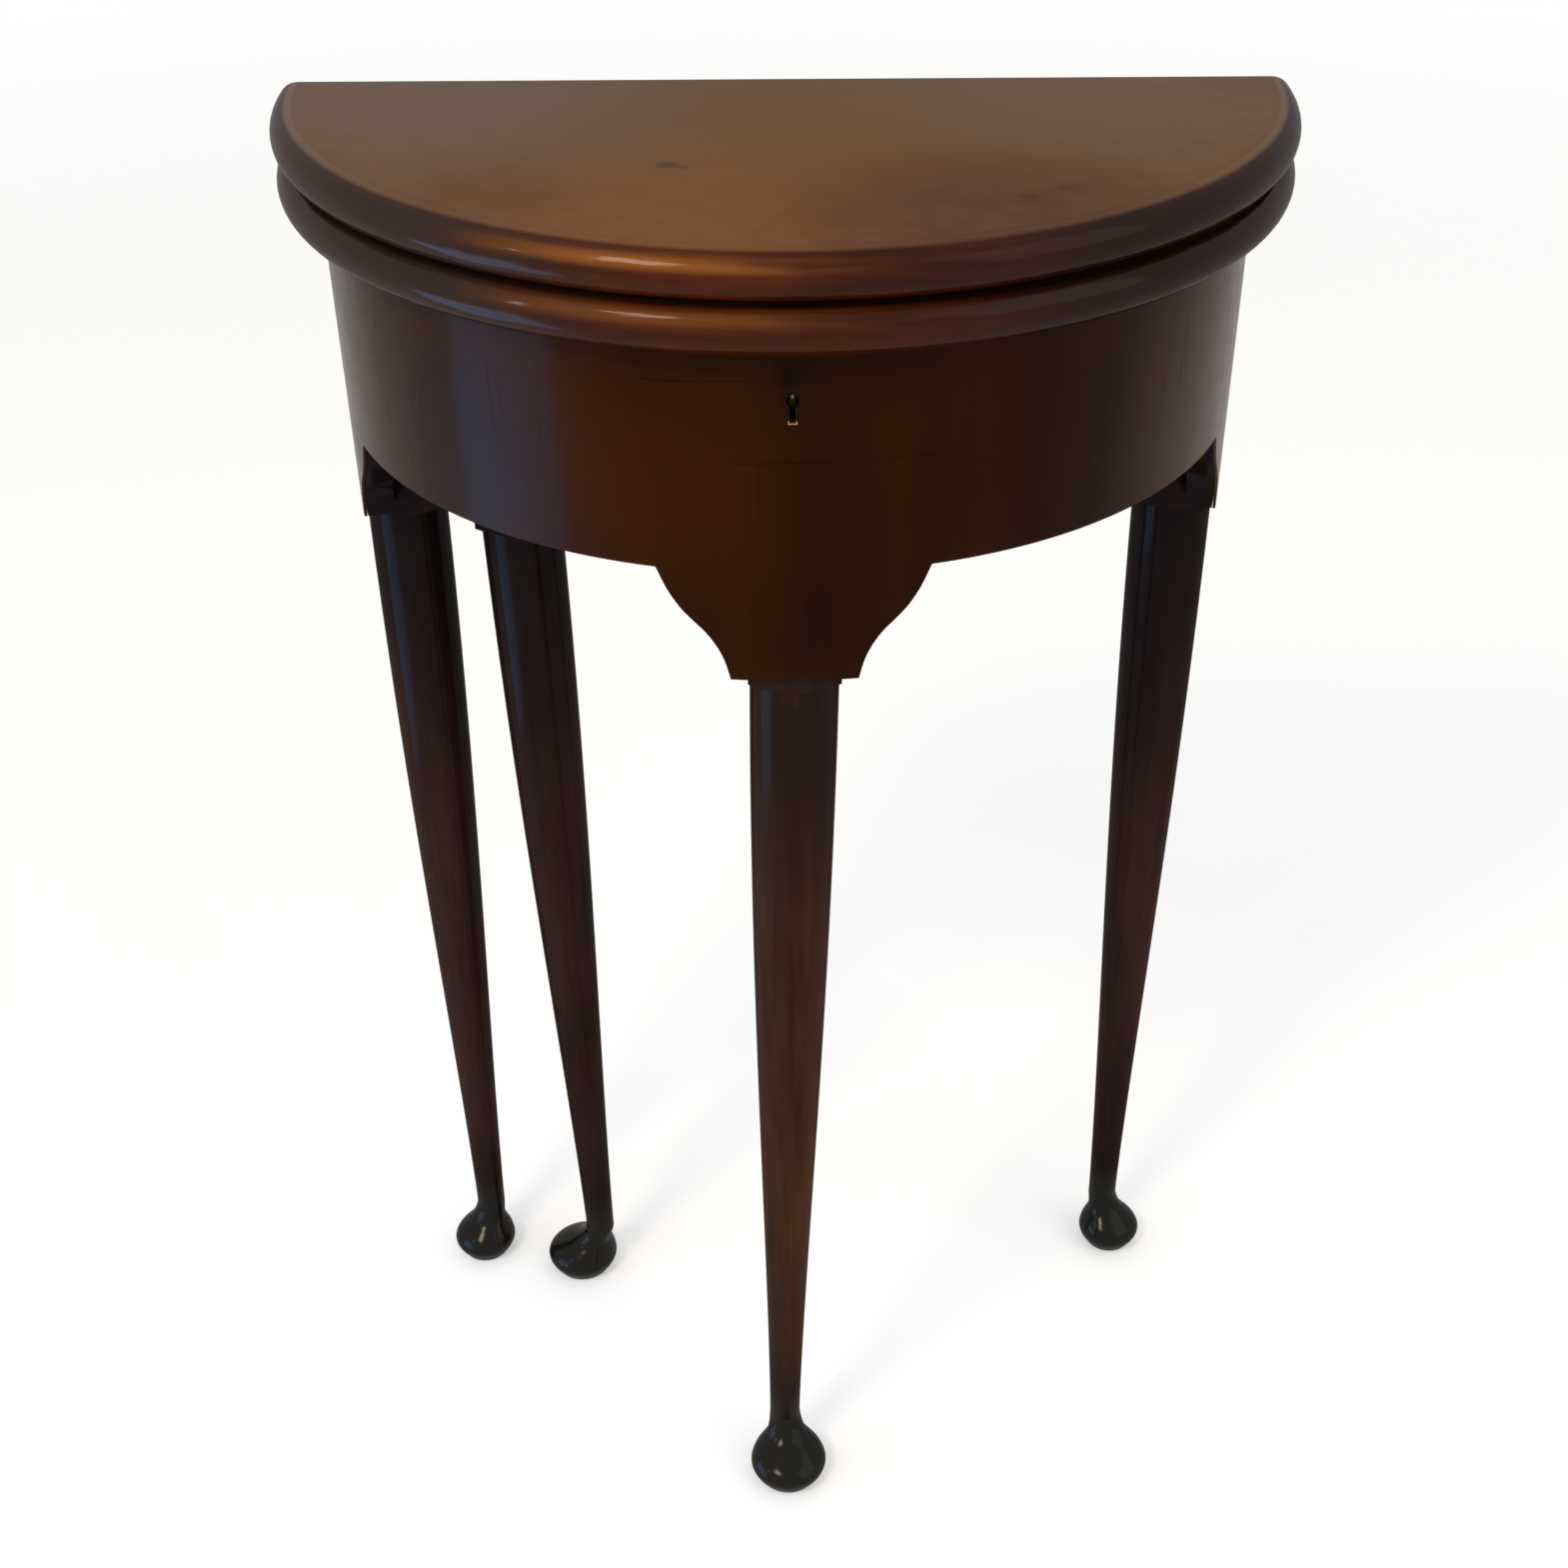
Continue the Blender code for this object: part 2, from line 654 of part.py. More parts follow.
def leg_block(name, place, x_range, y_range, top, envelope=None):
    """Return a leg's square block, turned at its shoulder, inside an envelope where one is given."""
    bottom = SHOULDER - SHOULDER_TAIL
    core = LEG_TOP_RADIUS - RUN_GAP
    profile = [
        (0, top + OVERRUN),
        (ENVELOPE_RADIUS, top + OVERRUN),
        (ENVELOPE_RADIUS, SHOULDER + SHOULDER_RISE),
        (core, SHOULDER),
        (core, bottom),
        (0, bottom),
    ]
    block = box(name, x_range, y_range, (bottom - OVERRUN, top))
    keep_inside(block, turned("shoulder", profile, LEG_SIDES, (*place, 0)))
    if envelope:
        keep_inside(block, envelope)
    return block


def make_front_leg():
    """Make the front leg: its head stands in the frieze and holds the lock in a mortise."""
    place = (0, FRONT_LEG_Y)
    envelope = full_disc("envelope", CORE_OUTER, 0, TABLE_HEIGHT)
    block = leg_block(
        "front_block",
        place,
        (-BLOCK_HALF, BLOCK_HALF),
        (-beyond(CORE_OUTER), FRONT_BLOCK_BACK),
        FRAME_TOP,
        envelope,
    )
    leg = join(block, turned_leg("front_shaft", place, FRONT_ANKLE_SHIFT, FRONT_PAD_SHIFT))
    wide = BLOCK_HALF + OVERRUN
    head_base = FRIEZE_BOTTOM - SEAT_GAP
    cut(
        leg,
        box(
            "bridle",
            (-wide, wide),
            (HEAD_BACK, FRONT_BLOCK_BACK + OVERRUN),
            (head_base, FRAME_TOP + OVERRUN),
        ),
        *lock_mortise(),
        *keyhole_cutters(LINING_WALL + SEAT_GAP, -beyond(FRIEZE_RADIUS), lining_back() + SEAT_GAP),
        *keyhole_cutters(0, -beyond(FRIEZE_RADIUS), LOCK_FRONT + OVERRUN / 2),
    )
    for x, z in lock_screw_places():
        cut(leg, lock_screw_hole(x, z))
    return finish_part(leg, "front_leg", "mahogany_leg")


def make_rear_legs():
    """Make the two fixed rear legs, whose blocks fill the ends of the frieze."""
    made = []
    for side, name in ((-1, "rear_leg_left"), (1, "rear_leg_right")):
        place = (side * REAR_LEG_X, REAR_LEG_Y)
        inner = side * (REAR_LEG_X - BLOCK_HALF)
        outer = side * beyond(CORE_OUTER)
        envelope = full_disc("envelope", CORE_OUTER, 0, TABLE_HEIGHT)
        block = leg_block(
            name,
            place,
            (min(inner, outer), max(inner, outer)),
            (REAR_LEG_FRONT, REAR_LEG_BACK),
            FRAME_TOP,
            envelope,
        )
        ankle = (side * REAR_ANKLE_OUT, 0)
        pad = (side * REAR_PAD_OUT, -REAR_PAD_FORWARD)
        leg = join(block, turned_leg(name + "_shaft", place, ankle, pad, REAR_PAD_RADIUS))
        for x, z in frame_screw_places(side):
            cut(leg, screw_hole(x, z))
        made.append(finish_part(leg, name, "mahogany_leg"))
    return made


def make_gate_leg():
    """Make the gate leg, whose block is cut back to a tongue behind the inner rail."""
    place = (GATE_LEG_X, GATE_LEG_Y)
    x_range = (GATE_LEG_X - BLOCK_HALF, GATE_LEG_X + BLOCK_HALF)
    block = leg_block(
        "gate_block", place, x_range, (GATE_LEG_Y - BLOCK_HALF, SWING_RAIL_BACK), FRAME_TOP
    )
    leg = join(block, turned_leg("gate_shaft", place, GATE_ANKLE_SHIFT, GATE_PAD_SHIFT))
    wide = (x_range[0] - OVERRUN, x_range[1] + OVERRUN)
    shoulder = BOARD_BOTTOM - RUN_GAP
    cut(
        leg,
        box(
            "lap",
            wide,
            (GATE_LEG_Y - BLOCK_HALF - OVERRUN, SWING_RAIL_FRONT),
            (shoulder, FRAME_TOP + OVERRUN),
        ),
        tenon("mortise", SEAT_GAP),
    )
    for z in peg_heights():
        cut(leg, peg("peg_hole", z, PEG_RADIUS + SEAT_GAP, OVERRUN))
    return finish_part(leg, "gate_leg", "mahogany_leg")


# Back rails and gate

def make_inner_rail():
    """Make the fixed inner back rail, fitted to the inside of the curved rails."""
    rail = box(
        "inner_rail",
        (-CORE_OUTER, CORE_OUTER),
        (INNER_RAIL_FRONT, INNER_RAIL_BACK),
        (RAIL_BOTTOM, FRAME_TOP),
    )
    keep_inside(rail, full_disc("inside", WELL_RADIUS, FRIEZE_BOTTOM, FRAME_TOP + OVERRUN))
    for x, z in rail_screw_places():
        cut(rail, rail_screw_hole(x, z))
    return finish_part(rail, "inner_back_rail", "deal")


def finger_heights():
    """Return the boundaries of the knuckle's fingers, from bottom to top."""
    return spread(RAIL_BOTTOM, RAIL_TOP, KNUCKLE_COUNT)


def knuckle_cutters(first, gap):
    """Return cutters that clear every second finger of a rail for the fingers of the other one."""
    heights = finger_heights()
    reach = SWING_RAIL_THICKNESS / 2 + RUN_GAP
    made = []
    for low, high in list(zip(heights, heights[1:]))[first::2]:
        bottom = low - gap if low > heights[0] else low - OVERRUN
        top = high + gap if high < heights[-1] else high + OVERRUN
        start = (HINGE_X, HINGE_Y, bottom)
        made.append(rod("finger_clearance", start, (0, 0, 1), top - bottom, reach))
    return made


def knuckle_bevel(side):
    """Return a wedge that bevels a rail's back corner, so that the gate can swing square to the back."""
    reach = SWING_RAIL_THICKNESS / 2
    size = reach + OVERRUN
    wedge = box("bevel", (-size, size), (0, 2 * size), (RAIL_BOTTOM - OVERRUN, RAIL_TOP + OVERRUN))
    wedge.data.transform(Matrix.Rotation(side * math.pi / 4, 4, "Z") @ Matrix.Translation((0, size, 0)))
    wedge.location.x = HINGE_X
    wedge.location.y = HINGE_Y - RUN_GAP
    return wedge


def knuckle_rail(name, side, far_end, first, gap):
    """Return a rail that ends in round fingers about the pivot, on one side of it."""
    z_range = (RAIL_BOTTOM, RAIL_TOP)
    ends = sorted((HINGE_X, far_end))
    rail = box(name, ends, (SWING_RAIL_FRONT, SWING_RAIL_BACK), z_range)
    cut(rail, knuckle_bevel(side))
    start = (HINGE_X, HINGE_Y, RAIL_BOTTOM)
    join(rail, rod("barrel", start, (0, 0, 1), RAIL_TOP - RAIL_BOTTOM, SWING_RAIL_THICKNESS / 2))
    cut(rail, *knuckle_cutters(first, gap))
    bore = (PIVOT_RADIUS + PIVOT_CLEARANCE) / math.cos(math.pi / ROUND_SIDES)
    length = RAIL_TOP - RAIL_BOTTOM + 2 * OVERRUN
    cut(rail, rod("bore", (HINGE_X, HINGE_Y, RAIL_BOTTOM - OVERRUN), (0, 0, 1), length, bore))
    shade_round(rail)
    return rail


def make_hinge_rail():
    """Make the fixed half of the wooden knuckle, screwed to the inner rail."""
    far_end = REAR_LEG_X - BLOCK_HALF - SEAT_GAP
    rail = knuckle_rail("hinge_rail", 1, far_end, 1, 0)
    for x, z in rail_screw_places():
        cut(rail, rail_screw_hole(x, z))
    return finish_part(rail, "hinge_rail", "mahogany_rail")


def make_fly_rail():
    """Make the swinging rail, tenoned into the gate leg."""
    far_end = GATE_LEG_X + BLOCK_HALF + SEAT_GAP
    rail = knuckle_rail("fly_rail", -1, far_end, 0, SEAT_GAP)
    join(rail, tenon("tenon", 0))
    for z in peg_heights():
        cut(rail, peg("peg_hole", z, PEG_RADIUS + SEAT_GAP, OVERRUN))
    return finish_part(rail, "fly_rail", "mahogany_rail")


def tenon(name, clearance):
    """Return the fly rail's tenon, or its mortise when a clearance is given."""
    face = GATE_LEG_X + BLOCK_HALF
    half = TENON_THICKNESS / 2 + clearance
    return box(
        name,
        (face - TENON_LENGTH - clearance, face + 2 * SEAT_GAP),
        (HINGE_Y - half, HINGE_Y + half),
        (RAIL_BOTTOM + TENON_SHOULDER - clearance, RAIL_TOP - TENON_SHOULDER + clearance),
    )


def peg_heights():
    """Return the heights of the pegs that draw the tenon home."""
    middle = (RAIL_BOTTOM + RAIL_TOP) / 2
    step = (RAIL_TOP - RAIL_BOTTOM) / 4
    return (middle - step, middle + step)


def peg(name, z, radius, extra):
    """Return a peg through the tongue and the tenon at a height."""
    x = GATE_LEG_X + BLOCK_HALF - TENON_LENGTH / 2
    length = SWING_RAIL_THICKNESS + 2 * extra
    return rod(name, (x, SWING_RAIL_FRONT - extra, z), (0, 1, 0), length, radius, SCREW_SIDES)


def make_pegs():
    """Make the pegs of the gate's tenon, flush at both faces."""
    pieces = [peg("peg", z, PEG_RADIUS, 0) for z in peg_heights()]
    return finish_row(pieces, "tenon_peg", "deal")


def make_pivot():
    """Make the iron pin of the wooden knuckle, with a flat head on the top finger."""
    length = RAIL_TOP - RAIL_BOTTOM
    pin = rod("pin", (HINGE_X, HINGE_Y, RAIL_BOTTOM), (0, 0, 1), length + SEAT_GAP, PIVOT_RADIUS)
    head = rod(
        "head",
        (HINGE_X, HINGE_Y, RAIL_TOP + SEAT_GAP / 2),
        (0, 0, 1),
        PIVOT_HEAD_THICKNESS,
        PIVOT_HEAD_RADIUS,
    )
    join(pin, head)
    shade_round(pin)
    return finish_part(pin, "knuckle_pin", "iron")


# Storage well

def make_board():
    """Make the board under the well, let into the rebate of the curved rails."""
    radius = CORE_INNER + REBATE_DEPTH - SEAT_GAP
    board = squeeze(half_round("board", radius, BOARD_THICKNESS, BOARD_BOTTOM, nose=False))
    slot = BLOCK_HALF + SEAT_GAP
    heights = (BOARD_BOTTOM - OVERRUN, BOARD_TOP + OVERRUN)
    wide = beyond(CORE_OUTER)
    cut(
        board,
        box("rear_end", (-wide, wide), (INNER_RAIL_FRONT - SEAT_GAP, OVERRUN), heights),
        box("head_notch", (-slot, slot), (-wide, HEAD_BACK + SEAT_GAP), heights),
    )
    return finish_part(board, "well_board", "deal")


# Hinges

def screw(name, place, direction, sizes, lip=0):
    """Return a countersunk screw with its head's face at a place, running along a direction.

    A lip draws the head out beyond its face, for a cutter.
    """
    head_radius, head_depth, radius, length = sizes
    head = [(0, lip), (head_radius, lip)] if lip else [(0, 0)]
    profile = [*head, (head_radius, 0), (radius, -head_depth), (radius, -length), (0, -length)]
    made = turned(name, profile, SCREW_SIDES)
    turn = Vector((0, 0, -1)).rotation_difference(Vector(direction)).to_matrix().to_4x4()
    made.data.transform(turn)
    made.location = place
    return made


def screw_cutter(name, place, direction, sizes):
    """Return the cutter for a screw's hole, larger than the screw by the seating gap all round."""
    head_radius, head_depth, radius, length = sizes
    grown = (head_radius + SEAT_GAP, head_depth, radius + SEAT_GAP, length + SEAT_GAP)
    return screw(name, place, direction, grown, OVERRUN)


SMALL_SCREW = (SCREW_HEAD_RADIUS, SCREW_HEAD_DEPTH, SCREW_RADIUS, SCREW_LENGTH)
RAIL_SCREW = (RAIL_SCREW_HEAD_RADIUS, RAIL_SCREW_HEAD_DEPTH, RAIL_SCREW_RADIUS, RAIL_SCREW_LENGTH)
LOCK_SCREW = (LOCK_SCREW_HEAD_RADIUS, LOCK_SCREW_HEAD_DEPTH, LOCK_SCREW_RADIUS, LOCK_SCREW_LENGTH)
PLATE_BACK = -PLATE_RECESS
PLATE_FRONT = PLATE_BACK - PLATE_THICKNESS
RECESS_FLOOR = PLATE_FRONT - SEAT_GAP


def screw_hole(x, z):
    """Return a cutter for a small screw that enters from the back."""
    return screw_cutter("screw_hole", (x, PLATE_BACK, z), (0, -1, 0), SMALL_SCREW)


def small_screws(name, places):
    """Make a row of small screws that enter from the back."""
    pieces = [screw("screw", (x, PLATE_BACK, z), (0, -1, 0), SMALL_SCREW) for x, z in places]
    return finish_row(pieces, name, "brass")


def knuckle_spans(middle, width):
    """Return the three spans of a hinge's barrel along X."""
    edges = spread(middle - width / 2, middle + width / 2, 3)
    return list(zip(edges, edges[1:]))


def hinge_plate(name, middle, width, z_range, axis, barrel_radius, pin_radius, own_spans, places):
    """Return one plate of a butt hinge with its share of the barrel and its screw holes."""
    ends = (middle - width / 2, middle + width / 2)
    plate = box(name, ends, (PLATE_FRONT, PLATE_BACK), z_range)
    y, z = axis
    barrel = rod("barrel", (ends[0], y, z), (1, 0, 0), width, barrel_radius, HINGE_SIDES)
    join(plate, barrel)
    spans = knuckle_spans(middle, width)
    for index, (low, high) in enumerate(spans):
        if index in own_spans:
            continue
        start = low - OVERRUN if low == spans[0][0] else low - SEAT_GAP / 2
        stop = high + OVERRUN if high == spans[-1][-1] else high + SEAT_GAP / 2
        reach = barrel_radius + SEAT_GAP
        cut(plate, rod("span", (start, y, z), (1, 0, 0), stop - start, reach, HINGE_SIDES))
    bore = (pin_radius + PIVOT_CLEARANCE) / math.cos(math.pi / HINGE_SIDES)
    cut(plate, rod("bore", (ends[0] - OVERRUN, y, z), (1, 0, 0), width + 2 * OVERRUN, bore, HINGE_SIDES))
    for x, height in places:
        cut(plate, screw_hole(x, height))
    return plate


def leaf_screw_places(side, middles=(-LEAF_HINGE_X, LEAF_HINGE_X)):
    """Return the (x, z) places of the leaf hinges' screws, above the fold with side 1 and below with -1."""
    z = FOLD_Z + side * (LEAF_PLATE_HEIGHT + LEAF_BARREL_RADIUS) / 2
    step = LEAF_HINGE_WIDTH / 3
    return [(middle + k * step, z) for middle in middles for k in (-1, 1)]


def leaf_hinge_recess(side, up):
    """Return cutters that let a leaf hinge into the back of a leaf, above (1) or below (-1) the fold."""
    middle = side * LEAF_HINGE_X
    half = LEAF_HINGE_WIDTH / 2 + SEAT_GAP
    heights = sorted((FOLD_Z, FOLD_Z + up * (LEAF_PLATE_HEIGHT + SEAT_GAP)))
    start = (middle - half, FOLD_Y, FOLD_Z)
    reach = LEAF_BARREL_RADIUS + RUN_GAP
    return (
        box("plate_recess", (middle - half, middle + half), (RECESS_FLOOR, OVERRUN), heights),
        rod("barrel_recess", start, (1, 0, 0), 2 * half, reach, HINGE_SIDES),
    )


def make_leaf_hinges():
    """Make the brass hinges between the leaves: upper plates, lower plates and pins."""
    axis = (FOLD_Y, FOLD_Z)
    plates = {1: [], -1: []}
    pins = []
    for side in (-1, 1):
        middle = side * LEAF_HINGE_X
        for up, own in ((1, (1,)), (-1, (0, 2))):
            heights = sorted((FOLD_Z + up * RUN_GAP / 2, FOLD_Z + up * LEAF_PLATE_HEIGHT))
            plates[up].append(
                hinge_plate(
                    "leaf_plate",
                    middle,
                    LEAF_HINGE_WIDTH,
                    heights,
                    axis,
                    LEAF_BARREL_RADIUS,
                    LEAF_PIN_RADIUS,
                    own,
                    leaf_screw_places(up, (middle,)),
                )
            )
        start = (middle - LEAF_HINGE_WIDTH / 2, FOLD_Y, FOLD_Z)
        pins.append(rod("pin", start, (1, 0, 0), LEAF_HINGE_WIDTH, LEAF_PIN_RADIUS, HINGE_SIDES))
    upper = finish_row(plates[1], "leaf_hinge_upper_plate", "brass")
    upper += small_screws("leaf_hinge_upper_screw", leaf_screw_places(1))
    lower = finish_row(plates[-1], "leaf_hinge_lower_plate", "brass")
    lower += small_screws("leaf_hinge_lower_screw", leaf_screw_places(-1))
    lower += finish_row(pins, "leaf_hinge_pin", "brass")
    return upper, lower


def lid_screw_places():
    """Return the (x, z) places of the lid hinges' screws in the lower leaf."""
    z = LOWER_BOTTOM + LID_PLATE_HEIGHT / 2
    step = LID_HINGE_WIDTH / 3
    return [(side * REAR_LEG_X + k * step, z) for side in (-1, 1) for k in (-1, 1)]


def frame_screw_places(side):
    """Return the (x, z) places of a lid hinge's screws in a rear leg."""
    z = LID_AXIS_Z - (FRAME_PLATE_HEIGHT + LID_BARREL_RADIUS) / 2
    step = LID_HINGE_WIDTH / 3
    return [(side * REAR_LEG_X + k * step, z) for k in (-1, 1)]


def lid_hinge_recess(side):
    """Return a cutter that lets a lid hinge into the back of the lower leaf."""
    middle = side * REAR_LEG_X
    half = LID_HINGE_WIDTH / 2 + SEAT_GAP
    heights = (LOWER_BOTTOM - OVERRUN, LOWER_BOTTOM + LID_PLATE_HEIGHT + SEAT_GAP)
    return (box("plate_recess", (middle - half, middle + half), (RECESS_FLOOR, OVERRUN), heights),)


def make_lid_hinges():
    """Make the hinges between the lower leaf and the rear legs: lid plates, frame plates and pins."""
    axis = (LID_AXIS_Y, LID_AXIS_Z)
    lid_plates = []
    frame_plates = []
    pins = []
    lid_heights = (LID_AXIS_Z + RUN_GAP / 2, LOWER_BOTTOM + LID_PLATE_HEIGHT)
    frame_heights = (LID_AXIS_Z - FRAME_PLATE_HEIGHT, LID_AXIS_Z - RUN_GAP / 2)
    for side in (-1, 1):
        middle = side * REAR_LEG_X
        shared = (axis, LID_BARREL_RADIUS, LID_PIN_RADIUS)
        lid_places = [place for place in lid_screw_places() if place[0] * side > 0]
        lid_plates.append(
            hinge_plate("lid_plate", middle, LID_HINGE_WIDTH, lid_heights, *shared, (1,), lid_places)
        )
        frame_places = frame_screw_places(side)
        frame_plates.append(
            hinge_plate("frame_plate", middle, LID_HINGE_WIDTH, frame_heights, *shared, (0, 2), frame_places)
        )
        start = (middle - LID_HINGE_WIDTH / 2, LID_AXIS_Y, LID_AXIS_Z)
        pins.append(rod("pin", start, (1, 0, 0), LID_HINGE_WIDTH, LID_PIN_RADIUS, HINGE_SIDES))
    finish_row(frame_plates, "lid_hinge_frame_plate", "brass")
    finish_row(pins, "lid_hinge_pin", "brass")
    small_screws("lid_hinge_frame_screw", frame_screw_places(-1) + frame_screw_places(1))
    moving = finish_row(lid_plates, "lid_hinge_lid_plate", "brass")
    return moving + small_screws("lid_hinge_lid_screw", lid_screw_places())


def rail_screw_places():
    """Return the (x, z) places of the screws that hold the hinge rail to the inner rail."""
    low = HINGE_X + SWING_RAIL_THICKNESS + RAIL_SCREW_HEAD_RADIUS
    high = REAR_LEG_X - BLOCK_WIDTH
    middle = (RAIL_BOTTOM + RAIL_TOP) / 2
    step = (RAIL_TOP - RAIL_BOTTOM) / 4
    return [(low, middle + step), (high, middle - step)]


def rail_screw_hole(x, z):
    """Return a cutter for a screw through the hinge rail into the inner rail."""
    return screw_cutter("rail_hole", (x, SWING_RAIL_BACK, z), (0, -1, 0), RAIL_SCREW)


def make_rail_screws():
    """Make the screws of the hinge rail, flush with its back."""
    places = rail_screw_places()
    pieces = [screw("screw", (x, SWING_RAIL_BACK, z), (0, -1, 0), RAIL_SCREW) for x, z in places]
    return finish_row(pieces, "rail_screw", "iron")


# Lock

def keyhole_cutters(margin, front, back):
    """Return the round and the slot of the keyhole, grown by a margin, from front to back."""
    half = KEYHOLE_SLOT_HALF + margin
    low = KEY_Z - KEYHOLE_SLOT_LENGTH - margin
    return (
        rod("keyhole_round", (0, front, KEY_Z), (0, 1, 0), back - front, KEYHOLE_RADIUS + margin),
        box("keyhole_slot", (-half, half), (front, back), (low, KEY_Z)),
    )


def lining_back():
    """Return where the keyhole lining ends inside the front leg's head."""
    return LINING_DEPTH - FRIEZE_RADIUS


def make_lining():
    """Make the thin brass lining of the keyhole."""
    front = -FRIEZE_RADIUS
    outer_round, outer_slot = keyhole_cutters(LINING_WALL, front, lining_back())
    lining = join(outer_round, outer_slot)
    cut(lining, *keyhole_cutters(0, front - OVERRUN, lining_back() + OVERRUN))
    return finish_part(lining, "keyhole_lining", "brass")


def lock_mortise():
    """Return the cutters for the lock's case and for its plate in the front leg's head."""
    half = LOCK_CASE_HALF_WIDTH + SEAT_GAP
    plate_half = LOCK_PLATE_HALF_WIDTH + SEAT_GAP
    heights = (LOCK_BOTTOM - SEAT_GAP, FRAME_TOP + OVERRUN)
    plate_heights = (LOCK_BOTTOM - LOCK_WALL - SEAT_GAP, FRAME_TOP + OVERRUN)
    back = LOCK_BACK + OVERRUN
    return (
        box("case_mortise", (-half, half), (LOCK_FRONT - SEAT_GAP, back), heights),
        box("plate_recess", (-plate_half, plate_half), (LOCK_PLATE_FRONT - SEAT_GAP, back), plate_heights),
    )


def lock_screw_places():
    """Return the (x, z) places of the lock's screws, at both sides of its case."""
    x = (LOCK_CASE_HALF_WIDTH + LOCK_PLATE_HALF_WIDTH) / 2
    return [(side * x, (LOCK_BOTTOM + FRAME_TOP) / 2) for side in (-1, 1)]


def lock_screw_hole(x, z):
    """Return a cutter for a lock screw that enters from inside the well."""
    return screw_cutter("lock_hole", (x, LOCK_BACK, z), (0, -1, 0), LOCK_SCREW)


def make_lock_case():
    """Make the brass case: plate, rim, slot for the link plate's lug, ledge and tumbler stud."""
    half = LOCK_CASE_HALF_WIDTH
    case = box("case", (-half, half), (LOCK_FRONT, LOCK_BACK - LOCK_WALL / 2), (LOCK_BOTTOM, FRAME_TOP))
    room = half - LOCK_WALL
    cut(
        case,
        box(
            "works",
            (-room, room),
            (LOCK_FRONT - OVERRUN, LOCK_PLATE_FRONT),
            (LOCK_BOTTOM + LOCK_WALL, FRAME_TOP - LOCK_WALL),
        ),
    )
    plate = box(
        "plate",
        (-LOCK_PLATE_HALF_WIDTH, LOCK_PLATE_HALF_WIDTH),
        (LOCK_PLATE_FRONT, LOCK_BACK),
        (LOCK_BOTTOM - LOCK_WALL, FRAME_TOP),
    )
    ledge_top = BOLT_Z - BOLT_HALF_HEIGHT - SEAT_GAP
    tail_end = BOLT_NOSE + TAIL_SETBACK + TAIL_WIDTH
    ledge = box(
        "ledge",
        (tail_end + RUN_GAP, half - LOCK_WALL / 2),
        (LOCK_MID - BOLT_HALF_THICKNESS, LOCK_BACK - LOCK_WALL / 2),
        (ledge_top - LOCK_WALL, ledge_top),
    )
    stud_start = (TUMBLER_X, LOCK_FRONT, TUMBLER_Z)
    stud_length = LOCK_BACK - LOCK_WALL / 2 - LOCK_FRONT
    stud = rod("stud", stud_start, (0, 1, 0), stud_length, TUMBLER_STUD_RADIUS, HINGE_SIDES)
    join(case, plate, ledge, stud)
    slot_x = LUG_HALF_THICKNESS + RUN_GAP
    slot_back = LOCK_MID + LUG_HALF_WIDTH + RUN_GAP
    cut(
        case,
        box(
            "lug_slot",
            (LUG_X - slot_x, LUG_X + slot_x),
            (LOCK_FRONT - OVERRUN, slot_back),
            (FRAME_TOP - LOCK_WALL - SEAT_GAP, FRAME_TOP + OVERRUN),
        ),
        rod(
            "pin_rivet",
            (0, LOCK_PLATE_FRONT - OVERRUN / 2, KEY_Z),
            (0, 1, 0),
            OVERRUN,
            KEY_PIN_RADIUS + SEAT_GAP,
            HINGE_SIDES,
        ),
    )
    for x, z in lock_screw_places():
        cut(case, lock_screw_hole(x, z))
    return finish_part(case, "lock_case", "brass")


def make_key_pin():
    """Make the steel pin that the key turns on, riveted in the lock's plate."""
    start = (0, LOCK_BACK - KEY_PIN_LENGTH, KEY_Z)
    pin = rod("key_pin", start, (0, 1, 0), KEY_PIN_LENGTH, KEY_PIN_RADIUS, HINGE_SIDES)
    return finish_part(pin, "lock_key_pin", "iron")


def make_lock_screws():
    """Make the two small screws of the lock."""
    places = lock_screw_places()
    pieces = [screw("screw", (x, LOCK_BACK, z), (0, -1, 0), LOCK_SCREW) for x, z in places]
    return finish_row(pieces, "lock_screw", "brass")


def make_bolt():
    """Make the sliding bolt with the tail and talon that the key drives."""
    y_range = (LOCK_MID - BOLT_HALF_THICKNESS, LOCK_MID + BOLT_HALF_THICKNESS)
    bolt = box(
        "bolt",
        (BOLT_NOSE, BOLT_NOSE + BOLT_LENGTH),
        y_range,
        (BOLT_Z - BOLT_HALF_HEIGHT, BOLT_Z + BOLT_HALF_HEIGHT),
    )
    tail_start = BOLT_NOSE + TAIL_SETBACK
    tail = box("tail", (tail_start, tail_start + TAIL_WIDTH), y_range, (TAIL_BOTTOM, BOLT_Z))
    join(bolt, tail)
    middle = (tail_start + TAIL_WIDTH / 2, y_range[0] - OVERRUN, TAIL_BOTTOM)
    depth = 2 * (BOLT_HALF_THICKNESS + OVERRUN)
    cut(bolt, rod("talon", middle, (0, 1, 0), depth, TALON_RADIUS, HINGE_SIDES))
    return finish_part(bolt, "lock_bolt", "iron")


